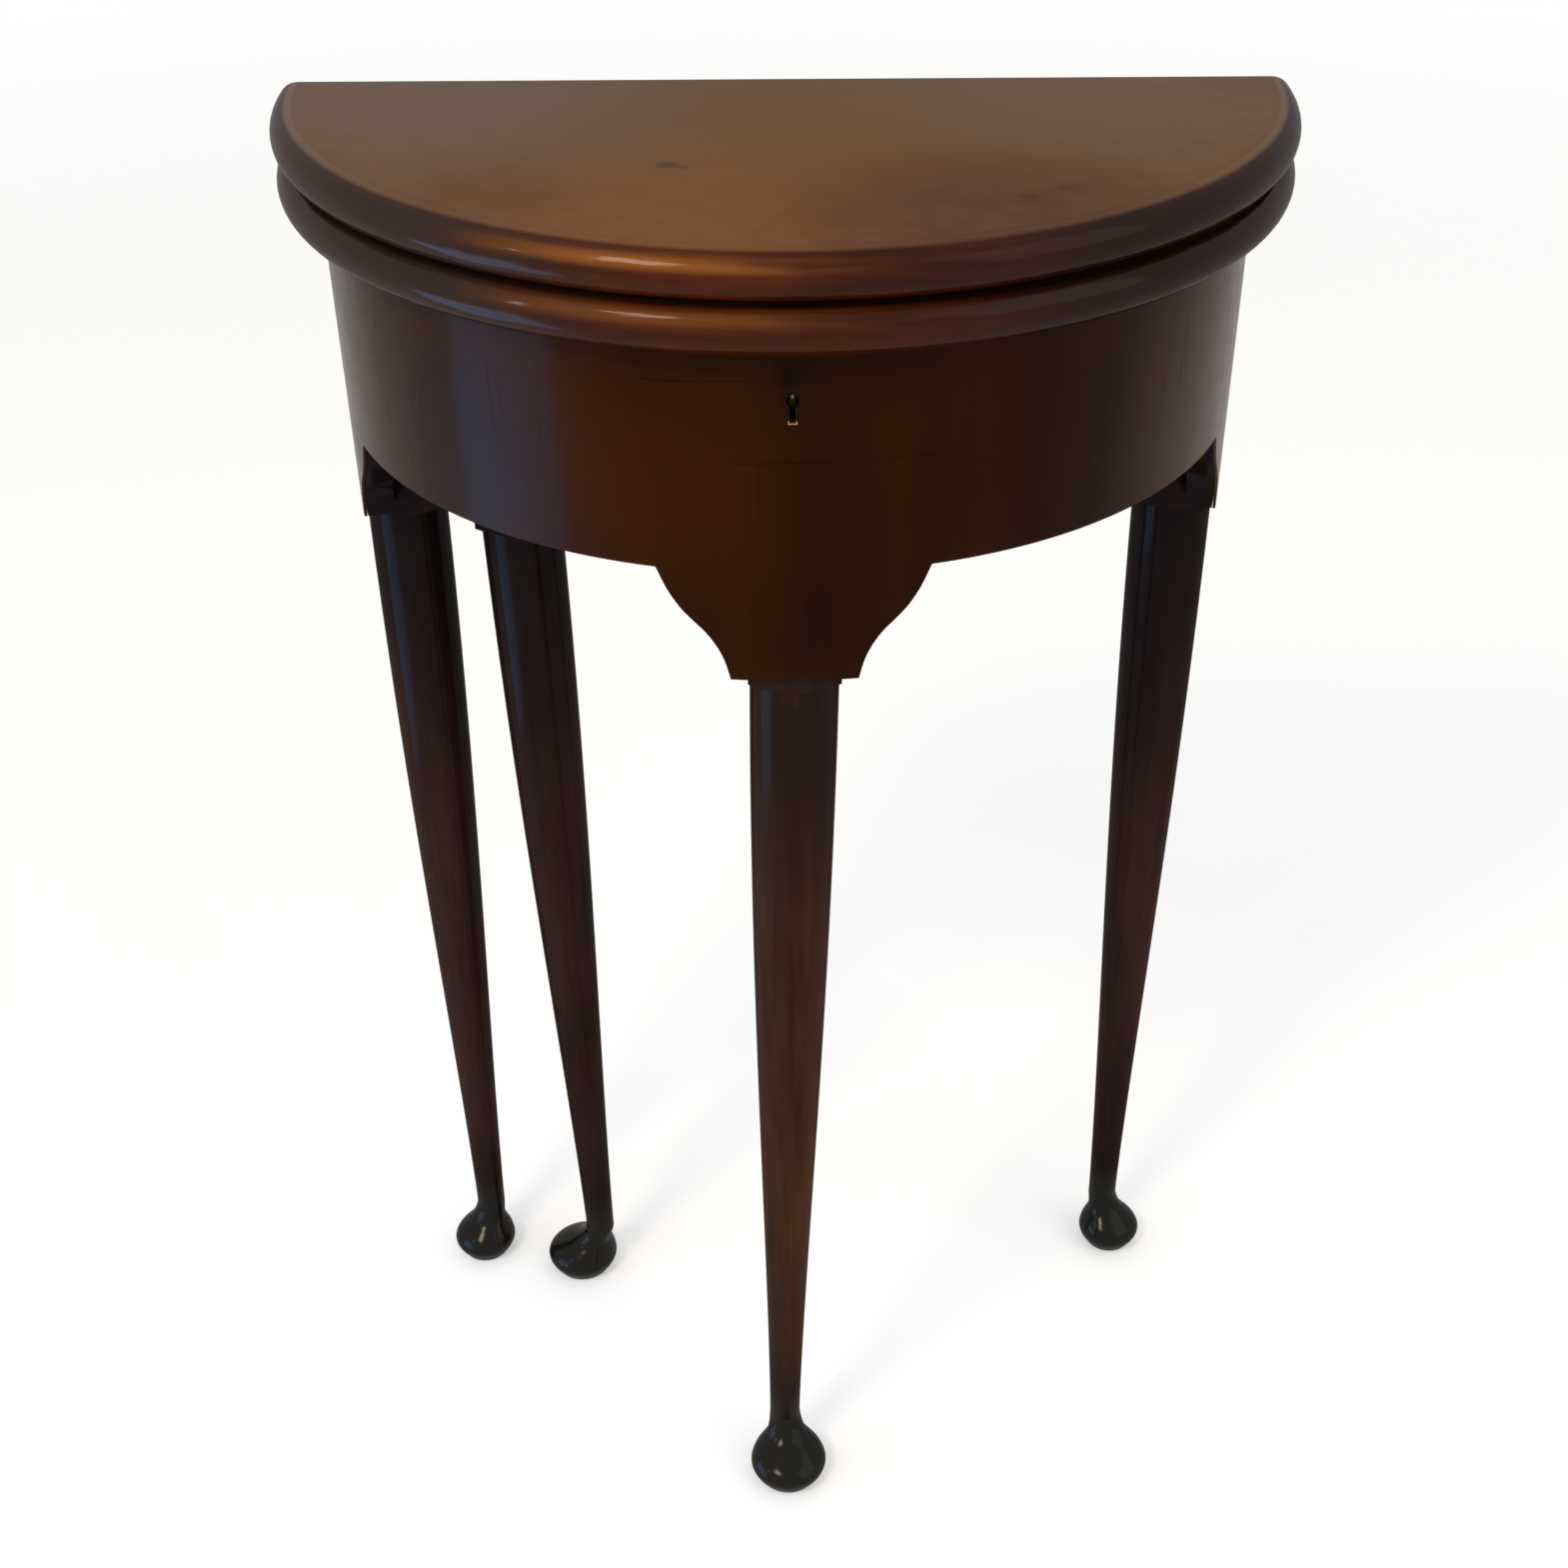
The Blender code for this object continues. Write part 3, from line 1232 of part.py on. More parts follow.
def make_tumbler():
    """Make the lever that the key lifts before the bolt can slide."""
    back = LOCK_MID - BOLT_HALF_THICKNESS - SEAT_GAP
    front = back - TUMBLER_THICKNESS
    hub = rod(
        "hub", (TUMBLER_X, front, TUMBLER_Z), (0, 1, 0), TUMBLER_THICKNESS, TUMBLER_HUB_RADIUS
    )
    arm = box(
        "arm",
        (TUMBLER_X - TUMBLER_ARM_LENGTH, TUMBLER_X),
        (front, back),
        (TUMBLER_Z - TUMBLER_ARM_HALF_HEIGHT, TUMBLER_Z + TUMBLER_ARM_HALF_HEIGHT),
    )
    join(hub, arm)
    bore = (TUMBLER_STUD_RADIUS + PIVOT_CLEARANCE) / math.cos(math.pi / HINGE_SIDES)
    start = (TUMBLER_X, front - OVERRUN, TUMBLER_Z)
    cut(hub, rod("bore", start, (0, 1, 0), TUMBLER_THICKNESS + 2 * OVERRUN, bore, HINGE_SIDES))
    return finish_part(hub, "lock_tumbler", "iron")


def link_screw_places():
    """Return the X places of the link plate's screws."""
    reach = (LINK_PLATE_HALF_LENGTH + LUG_HALF_THICKNESS) / 2
    return (LUG_X - reach, LUG_X + reach)


def link_screw_hole(x):
    """Return a cutter for a screw that enters the lower leaf's underside."""
    return screw_cutter("link_hole", (x, LOCK_MID, LOWER_BOTTOM), (0, 0, 1), SMALL_SCREW)


def link_plate_recess():
    """Return the cutters for the link plate and its screws in the lower leaf's underside."""
    half_x = LINK_PLATE_HALF_LENGTH + SEAT_GAP
    half_y = LINK_PLATE_HALF_WIDTH + SEAT_GAP
    plate = box(
        "plate_recess",
        (LUG_X - half_x, LUG_X + half_x),
        (LOCK_MID - half_y, LOCK_MID + half_y),
        (LOWER_BOTTOM - OVERRUN, LOWER_BOTTOM + LINK_PLATE_THICKNESS + SEAT_GAP),
    )
    return (plate, *[link_screw_hole(x) for x in link_screw_places()])


def make_link_plate():
    """Make the link plate in the lower leaf, with the eyed lug that drops into the lock."""
    plate = box(
        "link_plate",
        (LUG_X - LINK_PLATE_HALF_LENGTH, LUG_X + LINK_PLATE_HALF_LENGTH),
        (LOCK_MID - LINK_PLATE_HALF_WIDTH, LOCK_MID + LINK_PLATE_HALF_WIDTH),
        (LOWER_BOTTOM, LOWER_BOTTOM + LINK_PLATE_THICKNESS),
    )
    thick = LUG_HALF_THICKNESS
    lug = box(
        "lug",
        (LUG_X - thick, LUG_X + thick),
        (LOCK_MID - LUG_HALF_WIDTH, LOCK_MID + LUG_HALF_WIDTH),
        (LUG_BOTTOM, LOWER_BOTTOM + LINK_PLATE_THICKNESS / 2),
    )
    join(plate, lug)
    eye_half = BOLT_HALF_THICKNESS + RUN_GAP
    eye_x = thick + OVERRUN
    cut(
        plate,
        box(
            "eye",
            (LUG_X - eye_x, LUG_X + eye_x),
            (LOCK_MID - eye_half, LOCK_MID + eye_half),
            (EYE_BOTTOM, EYE_TOP),
        ),
        *[link_screw_hole(x) for x in link_screw_places()],
    )
    screws = [
        screw("screw", (x, LOCK_MID, LOWER_BOTTOM), (0, 0, 1), SMALL_SCREW) for x in link_screw_places()
    ]
    return [finish_part(plate, "link_plate", "brass"), *finish_row(screws, "link_plate_screw", "brass")]


def centre_table():
    """Move the table to stand with the middle of its bounds over the origin."""
    for part in PARTS.objects:
        if part.parent is None:
            part.location.y += CENTRE_SHIFT


def build_table():
    """Build every part and hang the moving ones on their axes."""
    make_frieze_rails()
    make_veneer()
    make_ears()
    make_front_leg()
    make_rear_legs()
    make_inner_rail()
    make_hinge_rail()
    make_rail_screws()
    make_pivot()
    make_board()
    make_lining()
    make_lock_case()
    make_key_pin()
    make_lock_screws()

    lid_axis = make_axis("lid_axis", (0, LID_AXIS_Y, LID_AXIS_Z))
    fold_axis = make_axis("fold_axis", (0, FOLD_Y, FOLD_Z))
    gate_axis = make_axis("gate_axis", (HINGE_X, HINGE_Y, 0))
    tumbler_axis = make_axis("tumbler_axis", (TUMBLER_X, LOCK_MID, TUMBLER_Z))
    bolt_axis = make_axis("bolt_axis", (BOLT_NOSE, LOCK_MID, BOLT_Z))

    upper, lower = make_leaves()
    upper_hinge_parts, lower_hinge_parts = make_leaf_hinges()
    lid_parts = make_lid_hinges() + make_link_plate()
    hang_on(fold_axis, upper, *upper_hinge_parts)
    hang_on(lid_axis, lower, *lower_hinge_parts, *lid_parts)
    hang_on(gate_axis, make_gate_leg(), make_fly_rail(), *make_pegs())
    hang_on(tumbler_axis, make_tumbler())
    hang_on(bolt_axis, make_bolt())
    centre_table()


build_table()
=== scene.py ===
"""Looks of the half-round fold-over tea table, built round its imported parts.

Each sub-assembly is a class that makes its pieces and dresses them. Sizes are metres, worked out in a layout
whose y = 0 is the leaves' straight back edge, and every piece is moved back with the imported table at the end.
"""

import logging
import math
from collections.abc import Iterable, Sequence
from dataclasses import dataclass, field, replace
from enum import Enum

import bmesh
import bpy
from bmesh.types import BMesh
from bpy.types import Material, Node, NodeSocket, Object
from mathutils import Matrix, Vector

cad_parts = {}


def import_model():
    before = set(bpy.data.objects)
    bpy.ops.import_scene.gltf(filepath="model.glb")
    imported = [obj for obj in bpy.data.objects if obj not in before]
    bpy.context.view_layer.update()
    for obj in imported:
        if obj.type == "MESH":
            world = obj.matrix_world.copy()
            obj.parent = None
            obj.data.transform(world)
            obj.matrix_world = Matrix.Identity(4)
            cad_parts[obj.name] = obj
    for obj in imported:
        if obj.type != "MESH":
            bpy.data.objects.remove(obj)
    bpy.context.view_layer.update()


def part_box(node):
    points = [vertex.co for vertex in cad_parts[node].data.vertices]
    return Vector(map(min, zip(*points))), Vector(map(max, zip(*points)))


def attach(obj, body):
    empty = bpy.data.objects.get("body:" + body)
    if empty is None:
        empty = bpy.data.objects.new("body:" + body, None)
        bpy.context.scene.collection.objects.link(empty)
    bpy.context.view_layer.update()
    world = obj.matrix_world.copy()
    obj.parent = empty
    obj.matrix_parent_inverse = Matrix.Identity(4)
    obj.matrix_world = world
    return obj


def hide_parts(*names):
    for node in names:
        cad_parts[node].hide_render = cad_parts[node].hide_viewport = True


LOG = logging.getLogger("tea_table")
Point = tuple[float, float, float]
Colour = tuple[float, float, float]
MERGE = 1e-6
OVERRUN = 0.01
TABLE_BACK = 0.119
SOFT_ARRIS, ARRIS, BOLT_ARRIS, METAL_ARRIS = 0.0005, 0.0004, 0.0002, 0.00015
RIGHT, BACK, UP, DOWN = (1, 0, 0), (0, 1, 0), (0, 0, 1), (0, 0, -1)
SIDES = ((-1, "left"), (1, "right"))


class Body(Enum):
    """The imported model's bodies that pieces ride on."""

    FRAME = "frame"
    LID = "lid"
    FOLDING_LEAF = "folding_leaf"
    GATE = "gate"
    BOLT = "bolt"
    TUMBLER = "tumbler"


class Grain(Enum):
    """The way that the grain of a piece of wood runs."""

    SIDEWAYS = "sideways"
    UPRIGHT = "upright"
    WRAPPED = "wrapped"
    ALONG = "along"


@dataclass(frozen=True)
class Plan:
    """Main heights, radii and clearances that the sub-assemblies share."""

    height: float = 0.747
    top_radius: float = 0.242
    leaf_thickness: float = 0.0215
    leaf_gap: float = 0.0004
    seat_gap: float = 0.0003
    run_gap: float = 0.0005
    frieze_radius: float = 0.2272
    frieze_squeeze: float = 0.984
    frieze_height: float = 0.1
    veneer_thickness: float = 0.0015
    core_thickness: float = 0.016
    back_inset: float = 0.0018
    drop_depth: float = 0.0528
    block_width: float = 0.042
    block_reveal: float = 0.0085
    rear_leg_inset: float = 0.0233
    head_thickness: float = 0.02
    rail_lift: float = 0.003
    gate_rail_thickness: float = 0.0166
    key_drop: float = 0.0216

    @property
    def rear_leg_x(self) -> float:
        """Distance of the rear legs from the middle."""
        return self.frieze_radius * self.frieze_squeeze - self.rear_leg_inset

    @property
    def upper_bottom(self) -> float:
        """Height of the upper leaf's underside."""
        return self.height - self.leaf_thickness

    @property
    def lower_top(self) -> float:
        """Height of the lower leaf's face."""
        return self.upper_bottom - self.leaf_gap

    @property
    def lower_bottom(self) -> float:
        """Height of the lower leaf's underside."""
        return self.lower_top - self.leaf_thickness

    @property
    def frame_top(self) -> float:
        """Height of the frieze's upper edge."""
        return self.lower_bottom - self.seat_gap

    @property
    def frieze_bottom(self) -> float:
        """Height of the frieze's straight lower edge."""
        return self.frame_top - self.frieze_height

    @property
    def shoulder(self) -> float:
        """Height where a leg's square block turns round."""
        return self.frieze_bottom - self.drop_depth - self.block_reveal

    @property
    def core_outer(self) -> float:
        """Outer radius of the curved rails."""
        return self.frieze_radius - self.veneer_thickness - self.seat_gap

    @property
    def core_inner(self) -> float:
        """Inner radius of the curved rails."""
        return self.core_outer - self.core_thickness

    @property
    def block_half(self) -> float:
        """Half the width of a leg's block."""
        return self.block_width / 2

    @property
    def rear_leg_y(self) -> float:
        """Place of the rear legs' blocks from the back edge."""
        return -self.back_inset - self.block_half

    @property
    def inner_rail_back(self) -> float:
        """Place of the inner rail's back face."""
        return -self.back_inset - self.block_width - self.seat_gap

    @property
    def fold_z(self) -> float:
        """Height of the leaves' fold."""
        return self.lower_top + self.leaf_gap / 2

    @property
    def head_back(self) -> float:
        """Place of the back of the front leg's head, with which the lock is flush."""
        return self.head_thickness - self.core_outer

    @property
    def key_z(self) -> float:
        """Height of the key's axis."""
        return self.frame_top - self.key_drop


PLAN = Plan()


# Materials


class NodeBoard:
    """A material's node tree, with short calls for the nodes that the finishes use."""

    def __init__(self, name: str) -> None:
        """Start a material with a bare Principled shader.

        Args:
            name: The material's name.
        """
        self.material = bpy.data.materials.new(name)
        self.material.use_nodes = True
        self.tree = self.material.node_tree
        self.shader = self.tree.nodes["Principled BSDF"]

    def set(self, **constants: float | Colour) -> None:
        """Set the shader's constant sockets, named with underscores for spaces.

        Args:
            constants: Values by socket name.
        """
        for name, value in constants.items():
            socket = self.shader.inputs[name.replace("_", " ")]
            socket.default_value = (*value, 1) if isinstance(value, tuple) else value

    def node(self, kind: str, **settings: object) -> Node:
        """Return a new node with its settings.

        Args:
            kind: The node's type name.
            settings: Properties of the node.

        Returns:
            The node.
        """
        made = self.tree.nodes.new(kind)
        for name, value in settings.items():
            setattr(made, name, value)
        return made

    def feed(self, socket: NodeSocket, value: object) -> None:
        """Link a socket to another one, or set it to a constant.

        Args:
            socket: The input.
            value: An output socket or a constant.
        """
        if isinstance(value, NodeSocket):
            self.tree.links.new(value, socket)
        elif socket.type == "RGBA" and len(value) == 3:
            socket.default_value = (*value, 1)
        else:
            socket.default_value = value

    def place(self) -> NodeSocket:
        """Return the surface point in the object's own coordinates."""
        return self.node("ShaderNodeTexCoord").outputs["Object"]

    def math(self, operation: str, a: object, b: object = 0.5, clamp: bool = False) -> NodeSocket:
        """Return the result of a Math node.

        Args:
            operation: The node's operation.
            a: First input.
            b: Second input.
            clamp: Whether the result stays between 0 and 1.

        Returns:
            The output socket.
        """
        made = self.node("ShaderNodeMath", operation=operation, use_clamp=clamp)
        self.feed(made.inputs[0], a)
        self.feed(made.inputs[1], b)
        return made.outputs[0]

    def times(self, a: object, b: object) -> NodeSocket:
        """Return a product."""
        return self.math("MULTIPLY", a, b)

    def away(self, value: NodeSocket, centre: float) -> NodeSocket:
        """Return how far a value is from a centre."""
        return self.math("ABSOLUTE", self.math("SUBTRACT", value, centre))

    def vector(self, operation: str, a: object, b: object) -> NodeSocket:
        """Return the result of a Vector Math node.

        Args:
            operation: The node's operation.
            a: First input.
            b: Second input.

        Returns:
            The output socket.
        """
        made = self.node("ShaderNodeVectorMath", operation=operation)
        self.feed(made.inputs[0], a)
        self.feed(made.inputs[1], b)
        return made.outputs["Value" if operation in ("LENGTH", "DISTANCE") else "Vector"]

    def parts(self, vector: NodeSocket) -> tuple[NodeSocket, NodeSocket, NodeSocket]:
        """Return the three parts of a vector.

        Args:
            vector: The vector.

        Returns:
            Its three parts.
        """
        made = self.node("ShaderNodeSeparateXYZ")
        self.feed(made.inputs[0], vector)
        return tuple(made.outputs)

    def joined(self, x: object, y: object, z: object) -> NodeSocket:
        """Return a vector of three parts.

        Args:
            x: First part.
            y: Second part.
            z: Third part.

        Returns:
            The vector.
        """
        made = self.node("ShaderNodeCombineXYZ")
        for socket, value in zip(made.inputs, (x, y, z)):
            self.feed(socket, value)
        return made.outputs[0]

    def height(self) -> NodeSocket:
        """Return the height of the surface point."""
        return self.parts(self.place())[2]

    def wrapped(self) -> tuple[NodeSocket, NodeSocket, NodeSocket]:
        """Return the surface point as seen from the frieze's upright axis.

        Returns:
            The length round the axis from the front, the distance from the axis, and the height.
        """
        x, y, z = self.parts(self.place())
        forward = self.math("SUBTRACT", TABLE_BACK, y)
        around = self.times(self.math("ARCTAN2", x, forward), PLAN.frieze_radius)
        reach = self.vector("LENGTH", self.joined(x, forward, 0.0), (0, 0, 0))
        return around, reach, z

    def noise(
        self, vector: NodeSocket, scale: float, detail: float = 3, roughness: float = 0.5, distortion: float = 0
    ) -> NodeSocket:
        """Return the value of a Noise texture.

        Args:
            vector: Where it is read.
            scale: Cells to a metre.
            detail: Octaves.
            roughness: How strong the finer octaves are.
            distortion: How far the pattern swirls.

        Returns:
            The noise, about 0.5.
        """
        made = self.node("ShaderNodeTexNoise")
        self.feed(made.inputs["Vector"], vector)
        for name, value in (
            ("Scale", scale), ("Detail", detail), ("Roughness", roughness), ("Distortion", distortion)
        ):
            made.inputs[name].default_value = value
        return made.outputs["Fac"]

    def span(self, value: object, low: float, high: float, to_low: float = 0, to_high: float = 1) -> NodeSocket:
        """Return a value eased from one range to another and held at its ends.

        Args:
            value: The input.
            low: Value that gives to_low.
            high: Value that gives to_high.
            to_low: First result.
            to_high: Last result.

        Returns:
            The output socket.
        """
        made = self.node("ShaderNodeMapRange", interpolation_type="SMOOTHSTEP")
        for socket, number in zip(made.inputs[:5], (value, low, high, to_low, to_high)):
            self.feed(socket, number)
        return made.outputs["Result"]

    def ramp(self, value: NodeSocket, stops: Sequence[tuple[float, Colour]]) -> NodeSocket:
        """Return the colour of a ramp.

        Args:
            value: Place along the ramp.
            stops: Places and colours.

        Returns:
            The colour socket.
        """
        made = self.node("ShaderNodeValToRGB")
        self.feed(made.inputs[0], value)
        elements = made.color_ramp.elements
        while len(elements) < len(stops):
            elements.new(0.5)
        for element, (position, colour) in zip(elements, stops):
            element.position = position
            element.color = (*colour, 1)
        return made.outputs["Color"]

    def mix(self, share: object, a: object, b: object, blend: str = "MIX") -> NodeSocket:
        """Return a blend of two colours.

        Args:
            share: How much of the second one.
            a: First colour.
            b: Second colour.
            blend: The node's blend type.

        Returns:
            The colour socket.
        """
        made = self.node("ShaderNodeMix", data_type="RGBA", blend_type=blend)
        self.feed(made.inputs[0], share)
        self.feed(made.inputs[6], a)
        self.feed(made.inputs[7], b)
        return made.outputs[2]

    def bump(
        self, height: NodeSocket, distance: float, strength: float = 1, normal: NodeSocket | None = None
    ) -> NodeSocket:
        """Return a normal disturbed by a height.

        Args:
            height: The height, about 0 to 1.
            distance: What a height of 1 stands for, in metres.
            strength: Share of the effect.
            normal: A normal that is already disturbed.

        Returns:
            The normal socket.
        """
        made = self.node("ShaderNodeBump")
        made.inputs["Strength"].default_value = strength
        made.inputs["Distance"].default_value = distance
        self.feed(made.inputs["Height"], height)
        if normal:
            self.feed(made.inputs["Normal"], normal)
        return made.outputs[0]

    def pointed(self) -> NodeSocket:
        """Return how convex the surface is: 0.5 where it is flat, more along edges and less in corners."""
        return self.node("ShaderNodeNewGeometry").outputs["Pointiness"]

    def bricks(self, vector: NodeSocket, length: float, height: float) -> NodeSocket:
        """Return the tones of staggered blocks with thin dark joints.

        Args:
            vector: Where the pattern is read.
            length: Length of a block.
            height: Height of a row.

        Returns:
            The colour socket.
        """
        made = self.node("ShaderNodeTexBrick")
        self.feed(made.inputs["Vector"], vector)
        for name, value in (
            ("Color1", (0.8, 0.78, 0.74)), ("Color2", (1, 1, 1)), ("Mortar", (0.3, 0.22, 0.15)), ("Scale", 1.0),
            ("Mortar Size", 0.0004), ("Mortar Smooth", 0.3), ("Brick Width", length), ("Row Height", height),
        ):
            self.feed(made.inputs[name], value)
        return made.outputs["Color"]

    def dress(self, colour: NodeSocket, roughness: NodeSocket, normal: NodeSocket) -> Material:
        """Link the shader's colour, roughness and normal and return the material.

        Args:
            colour: Base colour.
            roughness: Roughness.
            normal: Normal.

        Returns:
            The material.
        """
        for name, socket in (("Base Color", colour), ("Roughness", roughness), ("Normal", normal)):
            self.feed(self.shader.inputs[name], socket)
        return self.material


@dataclass(frozen=True)
class Mark:
    """A soft stain or dent on a surface, also used for painted highlights, shade and reflections."""

    place: Point
    radius: float
    strength: float
    colour: Colour


@dataclass(frozen=True)
class Tint:
    """A colour that deepens from one height to another, for stains and for painted shade."""

    start: float
    end: float
    colour: Colour
    share: float = 1.0


@dataclass(frozen=True)
class Rim:
    """The stain of the leaves' rounded rim, with painted light on it: a painted highlight along the crowns of the
    roundings, painted shade in the crease and along the fold, and ends in other tones for the shade and reflections
    that fall there. Heights are above the fold, places are lengths round from the front.

    A span's first number is where its effect begins, and its second is where the effect is full.
    """

    tone: Colour = (0.078, 0.0135, 0.0012)
    # Painted light at the rim's ends: painted reflection at the left, painted shade at the right.
    left_end: Colour = (0.03, 0.016, 0.0115)
    right_end: Colour = (0.014, 0.005, 0.0035)
    # Colour of the painted highlight on the crowns.
    crown: Colour = (0.24, 0.078, 0.013)
    # Colour of the painted shade in the crease and along the fold.
    crease: Colour = (0.003, 0.0012, 0.0006)
    shades: tuple[float, float, float] = (0.35, 0.65, 1)
    tone_span: tuple[float, float] = (0.36, 0.64)
    middle: float = -0.012
    ends_span: tuple[float, float] = (0.02, 0.14)
    left_to_right: tuple[float, float] = (-0.16, 0)
    crown_heights: tuple[tuple[float, float], ...] = ((0.0168, 0.9), (-0.0052, 0.45))
    crown_span: tuple[float, float] = (0.0042, 0.0006)
    crown_patches: tuple[float, float] = (0.34, 0.54)
    crown_middle: float = -0.052
    crown_reach: tuple[float, float] = (0.1, 0.015)
    above_crease: tuple[float, float] = (0.0046, 0.0016)
    below_crease: tuple[float, float] = (-0.002, -0.0007)
    back_span: tuple[float, float] = (-0.0011, -0.0006)
    fold_span: tuple[float, float] = (0.0014, 0.0008)
    crease_reach: tuple[float, float] = (0.228, 0.2312)
    edge_span: tuple[float, float] = (-0.0085, -0.006)
    streak_depth: float = 0.0006

    def streaks(self, board: NodeBoard) -> tuple[NodeSocket, NodeSocket]:
        """Return the fine streaks along the rim, and their blend with broad clouds.

        Args:
            board: The node board.

        Returns:
            The streaks and the blend.
        """
        around, reach, z = board.wrapped()
        streaks = board.noise(board.joined(board.times(around, 0.07), reach, z), 170, 4, 0.55, 0.2)
        clouds = board.noise(board.joined(board.times(around, 0.4), reach, z), 22, 3, 0.5)
        return streaks, board.math("ADD", board.times(streaks, 0.45), board.times(clouds, 0.55))

    def stain_and_painted_ends(self, board: NodeBoard, tone: NodeSocket) -> NodeSocket:
        """Return the rim's streaked stain, turning to other tones towards its ends: painted shade at the right end,
        darker, and a painted reflection at the left end, greyer and lighter than the right.

        Args:
            board: The node board.
            tone: The blend of streaks and clouds.

        Returns:
            The colour.
        """
        around = board.wrapped()[0]
        shades = [tuple(share * c for c in self.tone) for share in self.shades]
        colour = board.ramp(board.span(tone, *self.tone_span), tuple(zip((0.0, 0.5, 1.0), shades)))
        ends = board.mix(board.span(around, *self.left_to_right), self.left_end, self.right_end)
        return board.mix(board.span(board.away(around, self.middle), *self.ends_span, 0, 0.9), colour, ends)

    def lightened(self, board: NodeBoard, rise: NodeSocket, tone: NodeSocket) -> NodeSocket:
        """Return the share of painted highlight: a lighter, warmer band along the crowns of the two roundings where
        a lamp's highlight falls, patchy and centred left of the middle.

        Args:
            board: The node board.
            rise: Height above the fold.
            tone: The blend of streaks and clouds.

        Returns:
            The share.
        """
        crowns = [
            board.span(board.away(rise, height), *self.crown_span, 0, most) for height, most in self.crown_heights
        ]
        patchy = board.times(board.math("MAXIMUM", *crowns), board.span(tone, *self.crown_patches, 0.2, 1))
        return board.times(patchy, board.span(board.away(board.wrapped()[0], self.crown_middle), *self.crown_reach))

    def paint(self, board: NodeBoard, face: NodeSocket) -> tuple[NodeSocket, NodeSocket, NodeSocket]:
        """Return the face's colour with the rim round it, and the rim's painted highlight and painted shade.

        Args:
            board: The node board.
            face: Colour of the flat faces.

        Returns:
            The colour, how far a point belongs to the rim, and the height of the rim's streaks.
        """
        _, reach, z = board.wrapped()
        streaks, tone = self.streaks(board)
        rise = board.math("SUBTRACT", z, PLAN.fold_z)
        # Painted highlight: the crowns of the roundings turn lighter and warmer where a lamp's highlight falls.
        colour = board.mix(self.lightened(board, rise, tone), self.stain_and_painted_ends(board, tone), self.crown)
        # Painted shade in the crease between the two roundings at the fold.
        crease = board.times(board.span(rise, *self.above_crease, 0, 0.9), board.span(rise, *self.below_crease))
        colour = board.mix(crease, colour, self.crease)
        # Painted shade along the fold at the leaves' back edge, and over the rim near the crease.
        back = board.span(board.parts(board.place())[1], *(TABLE_BACK + place for place in self.back_span))
        fold = board.times(back, board.span(board.away(rise, 0), *self.fold_span, 0, 0.95))
        fold = board.math("MAXIMUM", fold, board.times(crease, board.span(reach, *self.crease_reach, 0, 0.8)))
        share = board.span(reach, *(PLAN.top_radius + place for place in self.edge_span))
        return board.mix(share, board.mix(fold, face, self.crease), colour), share, board.times(streaks, share)


